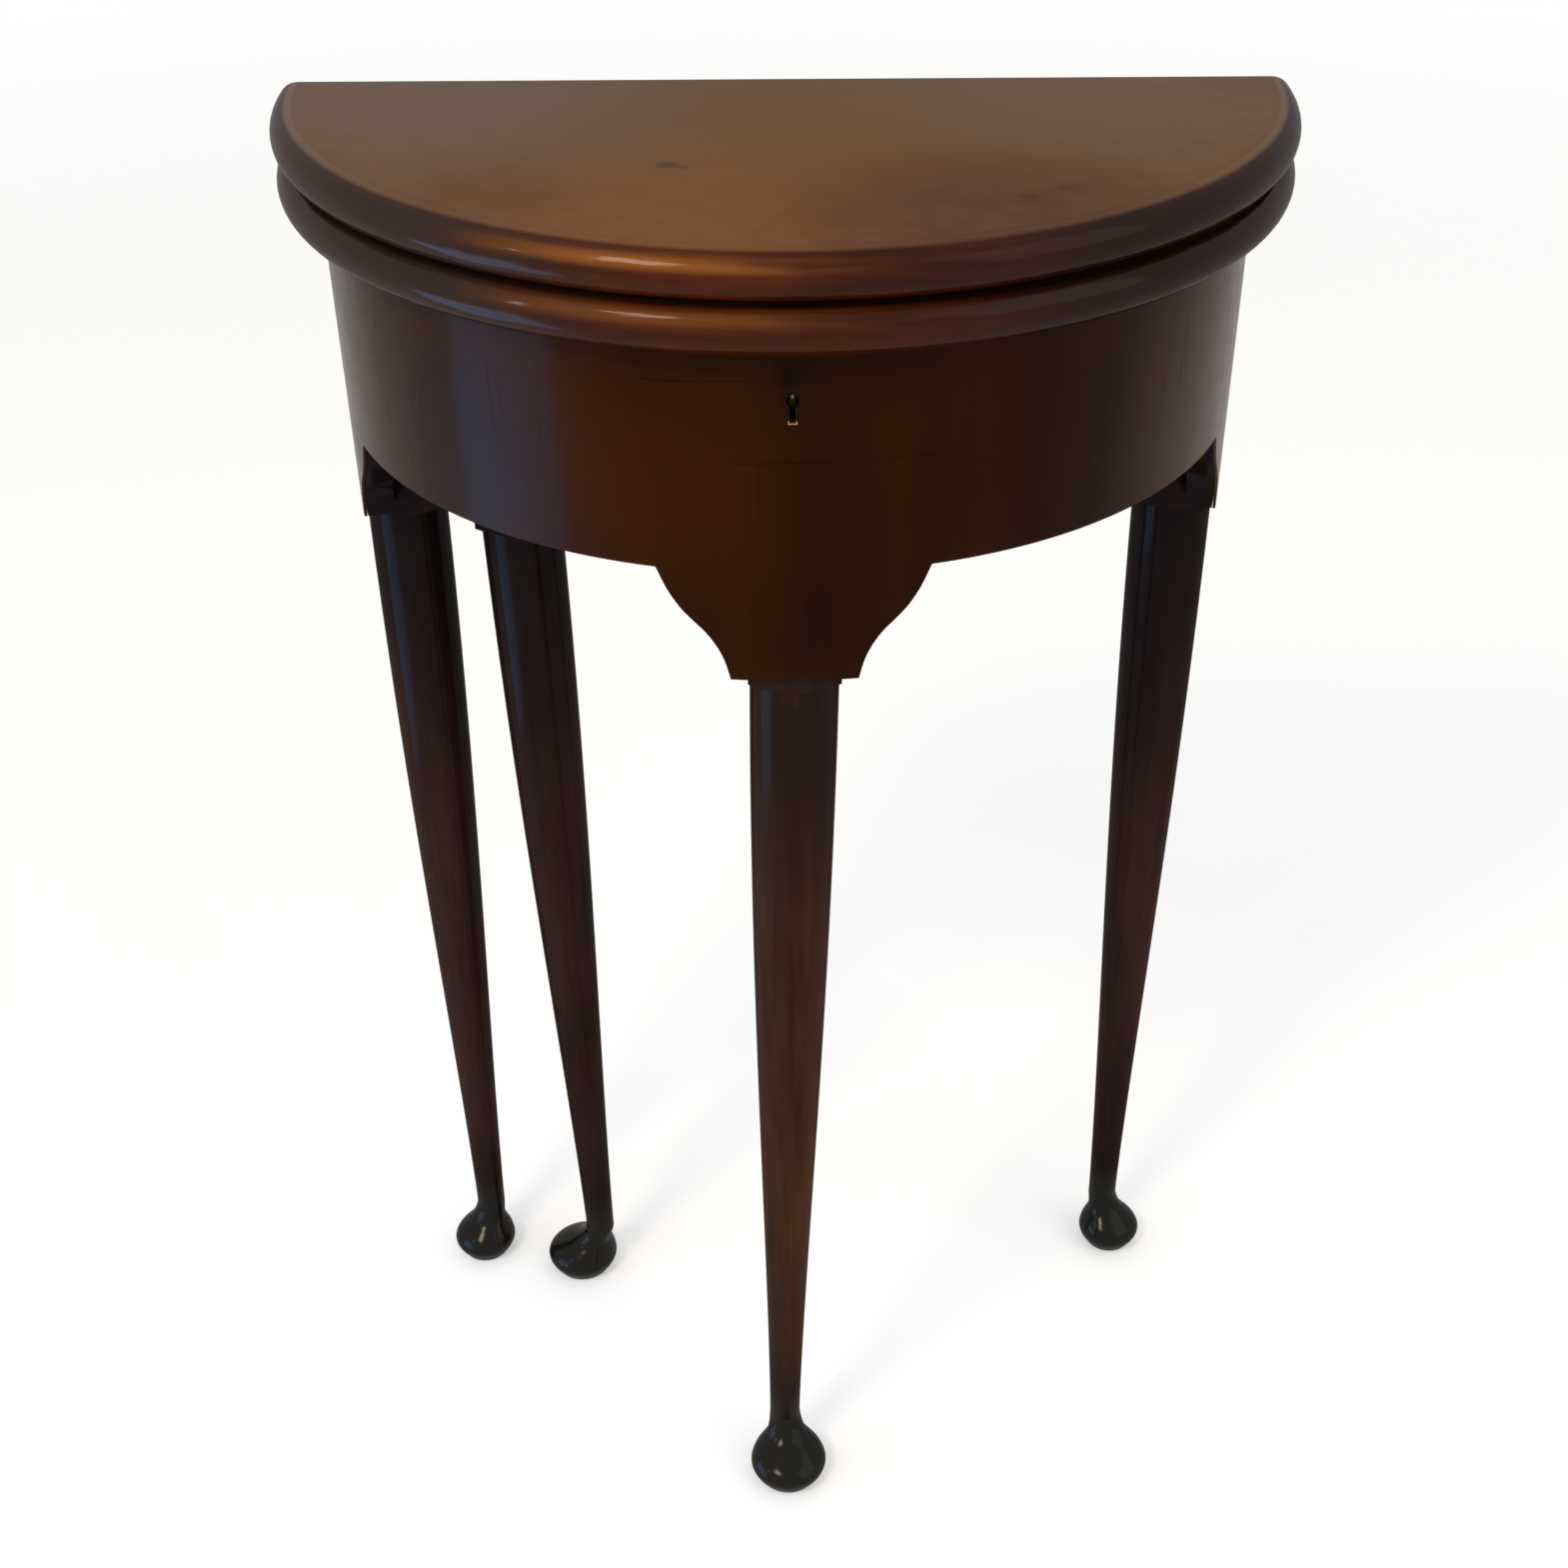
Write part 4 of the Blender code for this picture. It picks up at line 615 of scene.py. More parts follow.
@dataclass(frozen=True)
class Wood:
    """A wood finish: three tones of one timber, its grain, its polish and its wear."""

    name: str
    dark: Colour
    middle: Colour
    light: Colour
    grain: Grain
    polish: float
    coat: float = 0.0
    coat_roughness: float = 0.1
    rim_coat: float = 0.0
    figure: float = 6.0
    bands: float = 45.0
    contrast: float = 0.16
    shares: tuple[float, float, float] = (0.5, 0.38, 0.12)
    pores: float = 0.5
    ripple: float = 0.0002
    wear: float = 0.3
    rim: Rim | None = None
    marks: tuple[Mark, ...] = ()
    tints: tuple[Tint, ...] = ()
    checks: bool = False
    block_size: tuple[float, float] | None = None
    specular: float = 0.0
    varnish: Colour = (1, 1, 1)
    kept_as: str = ""
    stretches: tuple[float, float, float] = (0.4, 0.1, 0.03)
    fibres: float = 420
    pore_scale: float = 900
    pore_depth: float = 0.00003
    crack_rows: float = 28
    foot_span: tuple[float, float] = (0.07, 0.03)

    @property
    def slot(self) -> str:
        """The record's slot that the finish belongs to."""
        return self.kept_as or self.name

    def grain_vectors(self, board: NodeBoard) -> tuple[NodeSocket, NodeSocket, NodeSocket]:
        """Return the place stretched along the grain: a little, a good deal and very much.

        Args:
            board: The node board.

        Returns:
            Three vectors.
        """
        bent = self.grain in (Grain.WRAPPED, Grain.ALONG)
        across = board.wrapped() if bent else board.parts(board.place())
        long = 0 if self.grain in (Grain.SIDEWAYS, Grain.ALONG) else 2
        found = []
        for stretch in self.stretches:
            axes = list(across)
            axes[long] = board.times(axes[long], stretch)
            found.append(board.joined(*axes))
        return tuple(found)

    def worn(self, board: NodeBoard, colour: NodeSocket) -> NodeSocket:
        """Return the colour worn lighter along edges and darkened in corners.

        Args:
            board: The node board.
            colour: Colour of the unworn wood.

        Returns:
            The colour.
        """
        pointed = board.pointed()
        patchy = board.span(board.noise(board.place(), 60, 4, 0.6), 0.4, 0.62)
        lightened = board.times(board.span(pointed, 0.54, 0.64, 0, self.wear), patchy)
        colour = board.mix(lightened, colour, tuple(min(1.8 * c + 0.01, 1) for c in self.light))
        return board.mix(board.span(pointed, 0.48, 0.4, 0, 0.6), colour, tuple(0.35 * c for c in self.dark))

    def cracked(self, board: NodeBoard, colour: NodeSocket) -> NodeSocket:
        """Return the colour with a few fine level cracks, as in old veneer.

        Args:
            board: The node board.
            colour: Colour of the sound wood.

        Returns:
            The colour.
        """
        wander = board.times(board.noise(board.place(), 14, 3), 0.012)
        rows = board.math("FRACT", board.times(board.math("ADD", board.height(), wander), self.crack_rows), 0)
        line = board.span(board.away(rows, 0.5), 0.012, 0.004)
        shown = board.times(line, board.span(board.noise(board.place(), 23, 2), 0.56, 0.62))
        return board.mix(board.times(shown, 0.6), colour, tuple(0.3 * c for c in self.dark))

    def timber(self, board: NodeBoard, figure: NodeSocket, bands: NodeSocket, fibres: NodeSocket) -> NodeSocket:
        """Return the timber's colour with its marks and stains, before it is varnished; some marks and tints are
        painted light and shade.

        Args:
            board: The node board.
            figure: Broad clouds of the grain.
            bands: Its growth bands.
            fibres: Its fine fibres.

        Returns:
            The colour.
        """
        parts = [board.times(noise, share) for noise, share in zip((figure, bands, fibres), self.shares)]
        total = board.math("ADD", board.math("ADD", parts[0], parts[1]), parts[2])
        tone = board.span(total, 0.5 - self.contrast, 0.5 + self.contrast)
        colour = board.ramp(tone, ((0.0, self.dark), (0.5, self.middle), (1.0, self.light)))
        if self.block_size:
            around, _, z = board.wrapped()
            laid = board.joined(around, board.math("SUBTRACT", z, PLAN.frieze_bottom), 0.0)
            colour = board.mix(1.0, colour, board.bricks(laid, *self.block_size), "MULTIPLY")
        for mark in self.marks:
            away = board.vector("DISTANCE", board.place(), mark.place)
            share = board.span(away, mark.radius, mark.radius * 0.2, 0, mark.strength)
            colour = board.mix(share, colour, mark.colour)
        for tint in self.tints:
            share = board.span(board.height(), tint.start, tint.end, 0, tint.share)
            colour = board.mix(share, colour, tint.colour)
        return self.worn(board, self.cracked(board, colour) if self.checks else colour)

    def material(self) -> Material:
        """Return the finish's material.

        Returns:
            The material.
        """
        board = NodeBoard(self.name)
        board.set(
            Specular_IOR_Level=self.specular, Specular_Tint=self.varnish, Coat_Weight=self.coat,
            Coat_Roughness=self.coat_roughness,
        )
        coat = board.shader.inputs["Coat Weight"]
        broad, lined, fine = self.grain_vectors(board)
        bands = board.noise(lined, self.bands, 4, 0.55, 0.3)
        fibres = board.noise(fine, self.fibres, 3, 0.6)
        pores = board.span(board.noise(fine, self.pore_scale, 2, 0.5), 0.6, 0.72)
        colour = self.timber(board, board.noise(broad, self.figure, 4, 0.5, 0.5), bands, fibres)
        normal = board.bump(board.noise(broad, 18, 1, 0.4), self.ripple)
        height = board.math("SUBTRACT", board.times(bands, 0.5), board.times(pores, self.pores))
        normal = board.bump(height, self.pore_depth, 0.6, normal)
        if self.rim:
            colour, share, streaks = self.rim.paint(board, colour)
            board.feed(coat, board.span(share, 0, 1, self.coat, self.rim_coat))
            normal = board.bump(streaks, self.rim.streak_depth, 0.6, normal)
        elif self.rim_coat:
            board.feed(coat, board.span(board.height(), *self.foot_span, self.coat, self.rim_coat))
        colour = board.mix(board.times(pores, self.pores), colour, tuple(0.4 * c for c in self.dark))
        smudge = board.noise(board.place(), 17, 5, 0.62, 0.4)
        rough = board.math("ADD", self.polish, board.times(board.math("SUBTRACT", smudge, 0.5), 0.16))
        rough = board.math("ADD", rough, board.times(pores, 0.2), clamp=True)
        board.feed(board.shader.inputs["Coat Normal"], normal)
        return board.dress(colour, rough, normal)


@dataclass(frozen=True)
class Metal:
    """A metal finish: its colour, its tarnish and how smooth it is."""

    name: str
    colour: Colour
    tarnish: Colour
    share: float
    smooth: float
    dull: float
    slot: str = "brass"
    bright_below: float = 0.0
    bright: Colour = (0.4, 0.19, 0.1)
    bright_edge: float = 0.0004

    def material(self) -> Material:
        """Return the finish's material.

        Returns:
            The material.
        """
        board = NodeBoard(self.name)
        board.set(Metallic=1.0)
        place = board.place()
        cloud = board.noise(place, 70, 4, 0.55, 0.3)
        speck = board.noise(place, 600, 3, 0.6)
        mixed = board.math("ADD", board.times(cloud, 0.8), board.times(speck, 0.2))
        old = board.span(mixed, 0.62 - self.share, 0.82 - self.share)
        pointed = board.pointed()
        old = board.math("MAXIMUM", old, board.span(pointed, 0.48, 0.4, 0, 0.9))
        old = board.times(old, board.span(pointed, 0.53, 0.62, 1, 0.3))
        colour = board.mix(old, self.colour, self.tarnish)
        # Below a given height the metal is painted bright: the keyhole lining's lower lip, worn by the key and also
        # a painted highlight where light catches it.
        if self.bright_below:
            edges = (self.bright_below + self.bright_edge, self.bright_below - self.bright_edge)
            colour = board.mix(board.span(board.height(), *edges), colour, self.bright)
        rough = board.span(old, 0, 1, self.smooth, self.dull)
        brushed = board.noise(board.vector("MULTIPLY", place, (0.08, 1, 1)), 2200, 2)
        normal = board.bump(board.math("ADD", board.times(cloud, 0.5), brushed), 0.00002, 0.6)
        return board.dress(colour, rough, normal)


STAIN = (0.036, 0.016, 0.006)
# Painted reflection: a greyer haze on the top, where it reflects its surroundings.
PAINTED_REFLECTION = (0.128, 0.087, 0.071)
DUSK = (0.078, 0.026, 0.0072)
GLOW = (0.155, 0.056, 0.0085)
TOP_MARKS = (
    Mark((-0.02, -0.13, 0.747), 0.2, 0.75, GLOW),
    # Painted reflection: the greyer haze at the back left and the back right of the top.
    Mark((-0.17, 0.1, 0.747), 0.17, 0.72, PAINTED_REFLECTION),
    Mark((0.16, 0.11, 0.747), 0.16, 0.55, PAINTED_REFLECTION),
    Mark((0.085, -0.085, 0.747), 0.12, 0.85, DUSK),
    Mark((-0.125, -0.045, 0.747), 0.06, 0.35, DUSK),
    Mark((-0.052, -0.01, 0.747), 0.007, 0.6, STAIN),
    Mark((-0.045, -0.013, 0.747), 0.005, 0.4, STAIN),
    Mark((0.116, -0.045, 0.747), 0.008, 0.5, STAIN),
    Mark((0.098, -0.055, 0.747), 0.007, 0.4, STAIN),
)
MAHOGANY_TOP = Wood(
    "mahogany_top", (0.098, 0.044, 0.011), (0.114, 0.052, 0.013), (0.128, 0.06, 0.017), Grain.SIDEWAYS, 0.3,
    coat=0.13, coat_roughness=0.2, rim_coat=0.13, figure=4.5, bands=22, contrast=0.15, shares=(0.72, 0.23, 0.05),
    pores=0.1, wear=0.15, rim=Rim(), marks=TOP_MARKS,
)
MAHOGANY_RIM = replace(
    MAHOGANY_TOP, name="mahogany_rim", kept_as="mahogany_top", coat=0.2, rim_coat=0.2, coat_roughness=0.1,
)
MAHOGANY_FRIEZE = Wood(
    "mahogany_frieze", (0.0088, 0.002, 0.0004), (0.0168, 0.004, 0.0005), (0.028, 0.0072, 0.0008), Grain.WRAPPED,
    0.3, coat=0.045, coat_roughness=0.13, figure=9, bands=26, contrast=0.13, shares=(0.66, 0.28, 0.06), pores=0.15,
    wear=0.2, checks=True, specular=0.04, varnish=(1, 0.4, 0.1),
    marks=(
        # Painted warm highlight left of the middle.
        Mark((-0.06, -0.11, 0.64), 0.09, 0.7, (0.044, 0.0092, 0.0004)),
        # Painted shade over the right side.
        Mark((0.12, -0.08, 0.64), 0.1, 0.6, (0.009, 0.0018, 0.0003)),
        # Painted bluish reflection on the left.
        Mark((-0.145, -0.05, 0.64), 0.075, 0.7, (0.013, 0.007, 0.0075)),
        Mark((-0.002, -0.108, 0.698), 0.01, 0.6, (0.006, 0.0016, 0.0003)),
        Mark((-0.0015, -0.108, 0.69), 0.008, 0.7, (0.005, 0.0014, 0.0003)),
        Mark((0.033, -0.103, 0.665), 0.045, 0.25, (0.034, 0.0095, 0.0012)),
        Mark((0.012, -0.107, 0.64), 0.035, 0.3, (0.012, 0.003, 0.0005)),
        # Painted reflections, lighter and greyer, towards the frieze's two ends.
        Mark((0.21, 0.035, 0.62), 0.14, 0.72, (0.07, 0.036, 0.015)),
        Mark((-0.215, 0.05, 0.62), 0.13, 0.5, (0.05, 0.025, 0.012)),
    ),
)
MAHOGANY_LEG = Wood(
    "mahogany_leg", (0.012, 0.0042, 0.0032), (0.026, 0.0098, 0.0078), (0.043, 0.0175, 0.0115), Grain.UPRIGHT, 0.3,
    coat=0.07, coat_roughness=0.13, rim_coat=0.26, figure=8, bands=50, contrast=0.18, pores=0.2, wear=0.06,
    # The first tint is painted shade, darkening the leg's top under the frieze; the second darkens it towards the
    # foot.
    tints=(Tint(0.34, 0.54, (0.006, 0.0042, 0.0046), 0.82), Tint(0.12, 0.03, (0.008, 0.0065, 0.0045))),
)
# A lighter copy of the leg finish for the front leg: painted light, since more light falls on it. Its first tint is
# painted shade under the frieze; its second darkens it towards the foot.
LIT_FRONT_LEG = replace(
    MAHOGANY_LEG, name="mahogany_front_leg", kept_as="mahogany_leg", dark=(0.02, 0.0085, 0.004),
    middle=(0.046, 0.019, 0.009), light=(0.07, 0.031, 0.013),
    tints=(Tint(0.36, 0.54, (0.013, 0.0062, 0.0045), 0.75), Tint(0.12, 0.03, (0.009, 0.0075, 0.0055))),
)
MAHOGANY_RAIL = Wood(
    "mahogany_rail", (0.075, 0.028, 0.011), (0.12, 0.048, 0.02), (0.17, 0.074, 0.033), Grain.SIDEWAYS, 0.65,
    coat=0.03, coat_roughness=0.4, figure=7, bands=34, contrast=0.2, pores=0.5, ripple=0.0004,
)
DEAL = Wood(
    "deal", (0.21, 0.12, 0.058), (0.31, 0.19, 0.1), (0.4, 0.27, 0.155), Grain.SIDEWAYS, 0.8,
    figure=5, bands=48, contrast=0.15, pores=0.1, ripple=0.0004,
)
BLOCKED_DEAL = Wood(
    "deal_blocks", (0.22, 0.125, 0.06), (0.32, 0.2, 0.105), (0.41, 0.28, 0.16), Grain.ALONG, 0.8,
    figure=6, bands=60, contrast=0.15, pores=0.1, ripple=0.0003, block_size=(0.105, 0.0334), kept_as="deal",
)
BRASS = Metal("brass", (0.44, 0.3, 0.12), (0.15, 0.088, 0.036), 0.15, 0.32, 0.5)
# The keyhole's lining: dark tarnished brass whose lower lip is worn bright and also painted as a highlight.
DULL_BRASS = Metal("brass_dull", (0.022, 0.012, 0.006), (0.008, 0.005, 0.0035), 0.1, 0.5, 0.7, bright_below=0.6731)
IRON = Metal("iron", (0.14, 0.135, 0.135), (0.05, 0.034, 0.027), 0.06, 0.38, 0.7, slot="iron")
FINISHES = (
    MAHOGANY_TOP, MAHOGANY_RIM, MAHOGANY_FRIEZE, MAHOGANY_LEG, LIT_FRONT_LEG, MAHOGANY_RAIL, DEAL, BLOCKED_DEAL, BRASS,
    DULL_BRASS, IRON,
)


class Rack:
    """The finishes, each made once as a material."""

    def __init__(self) -> None:
        """Make every finish."""
        self.materials = {finish.name: finish.material() for finish in FINISHES}

    def get(self, name: str) -> Material:
        """Return the material of a finish."""
        return self.materials[name]


# Shapes


def brick(low: Sequence[float], high: Sequence[float]) -> BMesh:
    """Return a box between two corners.

    Args:
        low: Its lowest corner.
        high: Its highest corner.

    Returns:
        The closed shape.
    """
    bm = bmesh.new()
    bmesh.ops.create_cube(bm, size=1)
    start, end = Vector(low), Vector(high)
    bmesh.ops.scale(bm, vec=end - start, verts=bm.verts)
    return moved(bm, (start + end) / 2)


def moved(bm: BMesh, shift: Sequence[float]) -> BMesh:
    """Move a shape and return it."""
    bmesh.ops.translate(bm, vec=Vector(shift), verts=bm.verts)
    return bm


def turned(bm: BMesh, angle: float) -> BMesh:
    """Turn a shape about Z and return it."""
    bmesh.ops.rotate(bm, matrix=Matrix.Rotation(angle, 3, "Z"), verts=bm.verts)
    return bm


def aim(bm: BMesh, start: Sequence[float], direction: Sequence[float]) -> BMesh:
    """Turn a shape from its Z axis to a direction and move it to a place.

    Args:
        bm: The shape, drawn along Z.
        start: Where its origin goes.
        direction: Where its Z axis goes.

    Returns:
        The same shape.
    """
    turn = Vector((0, 0, 1)).rotation_difference(Vector(direction)).to_matrix()
    bmesh.ops.rotate(bm, matrix=turn, verts=bm.verts)
    return moved(bm, start)


def rod(
    start: Sequence[float], direction: Sequence[float], length: float, radius: float, sides: int = 48
) -> BMesh:
    """Return a round rod from a place along a direction.

    Args:
        start: Middle of its first end.
        direction: The way it runs.
        length: Its length.
        radius: Its radius.
        sides: Number of its sides.

    Returns:
        The closed shape.
    """
    bm = bmesh.new()
    bmesh.ops.create_cone(bm, cap_ends=True, segments=sides, radius1=radius, radius2=radius, depth=length)
    return aim(moved(bm, (0, 0, length / 2)), start, direction)


def lathe(profile: Sequence[tuple[float, float]], steps: int = 64, sweep: float = math.tau) -> BMesh:
    """Return a profile of radii and heights spun about Z, closed across its ends.

    Args:
        profile: Radius and height of each point, from one end of the axis to the other.
        steps: Number of steps.
        sweep: Angle of the spin.

    Returns:
        The closed shape.
    """
    bm = bmesh.new()
    verts = [bm.verts.new((radius, 0, height)) for radius, height in profile]
    edges = [bm.edges.new(pair) for pair in zip(verts, verts[1:])]
    whole = abs(sweep) >= math.tau
    bmesh.ops.spin(
        bm, geom=verts + edges, cent=(0, 0, 0), axis=(0, 0, 1), dvec=(0, 0, 0), angle=sweep, steps=steps,
        use_merge=whole, use_duplicate=False,
    )
    bmesh.ops.remove_doubles(bm, verts=bm.verts, dist=MERGE)
    if not whole:
        rim = [edge for edge in bm.edges if edge.is_boundary]
        bmesh.ops.holes_fill(bm, edges=rim, sides=len(rim) + 1)
    bmesh.ops.recalc_face_normals(bm, faces=bm.faces)
    return bm


def squeeze(bm: BMesh) -> BMesh:
    """Narrow a shape of the frieze from side to side, and return it."""
    bmesh.ops.scale(bm, vec=(PLAN.frieze_squeeze, 1, 1), verts=bm.verts)
    return bm


def arc(
    centre: tuple[float, float], radius: float, start: float, end: float, count: int
) -> list[tuple[float, float]]:
    """Return points of an arc, as radius and height.

    Args:
        centre: Its centre.
        radius: Its radius.
        start: Its first angle in degrees.
        end: Its last angle.
        count: Number of steps.

    Returns:
        The points.
    """
    angles = [math.radians(start + (end - start) * i / count) for i in range(count + 1)]
    return [(centre[0] + radius * math.cos(a), centre[1] + radius * math.sin(a)) for a in angles]


def eased(points: Sequence[tuple[float, float]], count: int) -> list[tuple[float, float]]:
    """Return a smooth curve through points.

    Args:
        points: The points.
        count: Steps between each two of them.

    Returns:
        The finer points.
    """
    ends = [points[0], *points, points[-1]]
    found = []
    for before, here, there, after in zip(ends, ends[1:], ends[2:], ends[3:]):
        for i in range(count):
            t = i / count
            found.append(tuple(
                0.5 * (2 * b + (c - a) * t + (2 * a - 5 * b + 4 * c - d) * t**2 + (3 * b - a - 3 * c + d) * t**3)
                for a, b, c, d in zip(before, here, there, after)
            ))
    return [*found, points[-1]]


class Blank:
    """A shape being worked at the bench: it can be cut, joined and have its edges broken."""

    def __init__(self, bm: BMesh) -> None:
        """Take a shape.

        Args:
            bm: The shape, which is used up.
        """
        bmesh.ops.recalc_face_normals(bm, faces=bm.faces)
        mesh = bpy.data.meshes.new("blank")
        bm.to_mesh(mesh)
        bm.free()
        self.object = bpy.data.objects.new("blank", mesh)
        bpy.context.scene.collection.objects.link(self.object)

    def _settle(self) -> None:
        """Replace the mesh by its evaluated mesh and drop the modifiers."""
        graph = bpy.context.evaluated_depsgraph_get()
        mesh = bpy.data.meshes.new_from_object(self.object.evaluated_get(graph))
        self.object.modifiers.clear()
        self.object.data = mesh

    def _combine(self, operation: str, others: Iterable[BMesh]) -> "Blank":
        """Work other shapes into this one, one after the other.

        Args:
            operation: The Boolean modifier's operation.
            others: The shapes.

        Returns:
            This blank.
        """
        for other in others:
            tool = Blank(other)
            step = self.object.modifiers.new(operation, "BOOLEAN")
            step.operation = operation
            step.solver = "EXACT"
            step.object = tool.object
            self._settle()
            bpy.data.objects.remove(tool.object)
        return self

    def cut(self, *others: BMesh) -> "Blank":
        """Cut shapes away."""
        return self._combine("DIFFERENCE", others)

    def join(self, *others: BMesh) -> "Blank":
        """Join shapes on."""
        return self._combine("UNION", others)

    def keep(self, *others: BMesh) -> "Blank":
        """Keep what lies inside the shapes."""
        return self._combine("INTERSECT", others)

    def break_edges(self, width: float, degrees: float = 50) -> "Blank":
        """Round every edge sharper than an angle, in two steps.

        Args:
            width: Width of the rounding.
            degrees: The angle.

        Returns:
            This blank.
        """
        step = self.object.modifiers.new("arris", "BEVEL")
        step.width = width
        step.segments = 2
        step.limit_method = "ANGLE"
        step.angle_limit = math.radians(degrees)
        step.use_clamp_overlap = True
        self._settle()
        return self


@dataclass
class Bench:
    """Turns blanks into finished pieces of the table."""

    rack: Rack
    smooth_degrees: float = 35
    count: int = 0

    def finish(self, blank: Blank, node: str, finish: Wood | Metal, body: Body, in_cad: bool = True) -> Object:
        """Place a piece in the table's frame, dress it and let it stand for its CAD node.

        Args:
            blank: The worked shape.
            node: The CAD node that it stands for, which also gives its name.
            finish: Its finish.
            body: The body that it rides on.
            in_cad: Whether the CAD has the node, which a few small fasteners lack.

        Returns:
            The piece.
        """
        piece = blank.object
        piece.name = f"finished_{node}"
        piece.data.name = piece.name
        piece.data.transform(Matrix.Translation((0, TABLE_BACK, 0)))
        piece.data.materials.clear()
        piece.data.materials.append(self.rack.get(finish.name))
        piece.data.shade_smooth()
        piece.data.set_sharp_from_angle(angle=math.radians(self.smooth_degrees))
        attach(piece, body.value)
        if in_cad:
            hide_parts(node)
        self.count += 1
        LOG.info("%s: %d faces, rides on %s", piece.name, len(piece.data.polygons), body.value)
        return piece

    def drive(
        self, screw: "Screw", name: str, places: Iterable[Point], turns: Iterable[float], finish: Metal, body: Body,
        outward: Sequence[float] = BACK, first: int = 1, in_cad: int = 4,
    ) -> None:
        """Make a row of numbered screws.

        Args:
            screw: Their kind.
            name: Name of the row.
            places: Middle of each head's face.
            turns: Angle of each slot in degrees.
            finish: Their finish.
            body: The body that they ride on.
            outward: The way that the heads face.
            first: Number of the first one.
            in_cad: The highest number that the CAD has.
        """
        for number, (place, turn) in enumerate(zip(places, turns), first):
            self.finish(screw.blank(place, outward, turn), f"{name}_{number}", finish, body, number <= in_cad)


# Sub-assemblies


@dataclass(frozen=True)
class Butt:
    """Sizes of one pair of butt hinges: place, width, axis, barrel, pin and the plate on the leaf."""

    middle_x: float
    width: float
    axis: tuple[float, float]
    barrel: float
    pin_radius: float
    plate_height: float


LID_BARREL = 0.0024
LEAF_BUTT = Butt(0.125, 0.036, (PLAN.leaf_gap / 2, PLAN.fold_z), 0.0021, 0.0009, 0.0095)
LID_BUTT = Butt(
    PLAN.rear_leg_x, 0.034, (0.0016, PLAN.lower_bottom - PLAN.seat_gap - LID_BARREL), LID_BARREL, 0.0011, 0.013
)


@dataclass
class Leaves:
    """The two half-round leaves with their rounded edges."""

    bench: Bench
    nose_steps: int = 20
    sweep_steps: int = 180
    flat_margin: float = 0.004
    recess_floor: float = -0.0018
    rim_width: float = 0.0112

    def board(self, bottom: float) -> Blank:
        """Return a half-round board with a half-round edge.

        Args:
            bottom: Height of its underside.

        Returns:
            The blank.
        """
        thick, swell = PLAN.leaf_thickness, PLAN.leaf_thickness / 2
        flat = PLAN.top_radius - swell
        nose = arc((flat, swell), swell, 90, -90, self.nose_steps)
        even = flat - self.flat_margin
        profile = [(0, thick), (even, thick), *nose, (even, 0), (0, 0)]
        return Blank(moved(lathe(profile, self.sweep_steps, -math.pi), (0, 0, bottom)))

    def leaf_recess(self, x: float, up: int) -> list[BMesh]:
        """Return the cutters of one leaf hinge.

        Args:
            x: Middle of the hinge.
            up: 1 above the fold, -1 below it.

        Returns:
            The cutters of its plate and of its barrel.
        """
        half = LEAF_BUTT.width / 2 + PLAN.seat_gap
        y, z = LEAF_BUTT.axis
        low, high = sorted((z, z + up * (LEAF_BUTT.plate_height + PLAN.seat_gap)))
        return [
            brick((x - half, self.recess_floor, low), (x + half, OVERRUN, high)),
            rod((x - half, y, z), RIGHT, 2 * half, LEAF_BUTT.barrel + PLAN.run_gap, 32),
        ]

    def lid_recess(self, x: float) -> BMesh:
        """Return the cutter of one lid hinge in the lower leaf's back.

        Args:
            x: Middle of the hinge.

        Returns:
            The cutter.
        """
        half = LID_BUTT.width / 2 + PLAN.seat_gap
        low = PLAN.lower_bottom - OVERRUN
        high = PLAN.lower_bottom + LID_BUTT.plate_height + PLAN.seat_gap
        return brick((x - half, self.recess_floor, low), (x + half, OVERRUN, high))

    def build(self) -> None:
        """Make both leaves."""
        upper = self.board(PLAN.upper_bottom)
        lower = self.board(PLAN.lower_bottom)
        for x in (-LEAF_BUTT.middle_x, LEAF_BUTT.middle_x):
            upper.cut(*self.leaf_recess(x, 1))
            lower.cut(*self.leaf_recess(x, -1))
        for x in (-LID_BUTT.middle_x, LID_BUTT.middle_x):
            lower.cut(self.lid_recess(x))
        lower.cut(Lock(self.bench).link_recess())
        for blank, node, body in ((upper, "upper_leaf", Body.FOLDING_LEAF), (lower, "lower_leaf", Body.LID)):
            blank.break_edges(SOFT_ARRIS)
            piece = self.bench.finish(blank, node, MAHOGANY_TOP, body)
            piece.data.materials.append(self.bench.rack.get(MAHOGANY_RIM.name))
            for face in piece.data.polygons:
                x, y, _ = face.center
                face.material_index = int(math.hypot(x, y - TABLE_BACK) > PLAN.top_radius - self.rim_width)


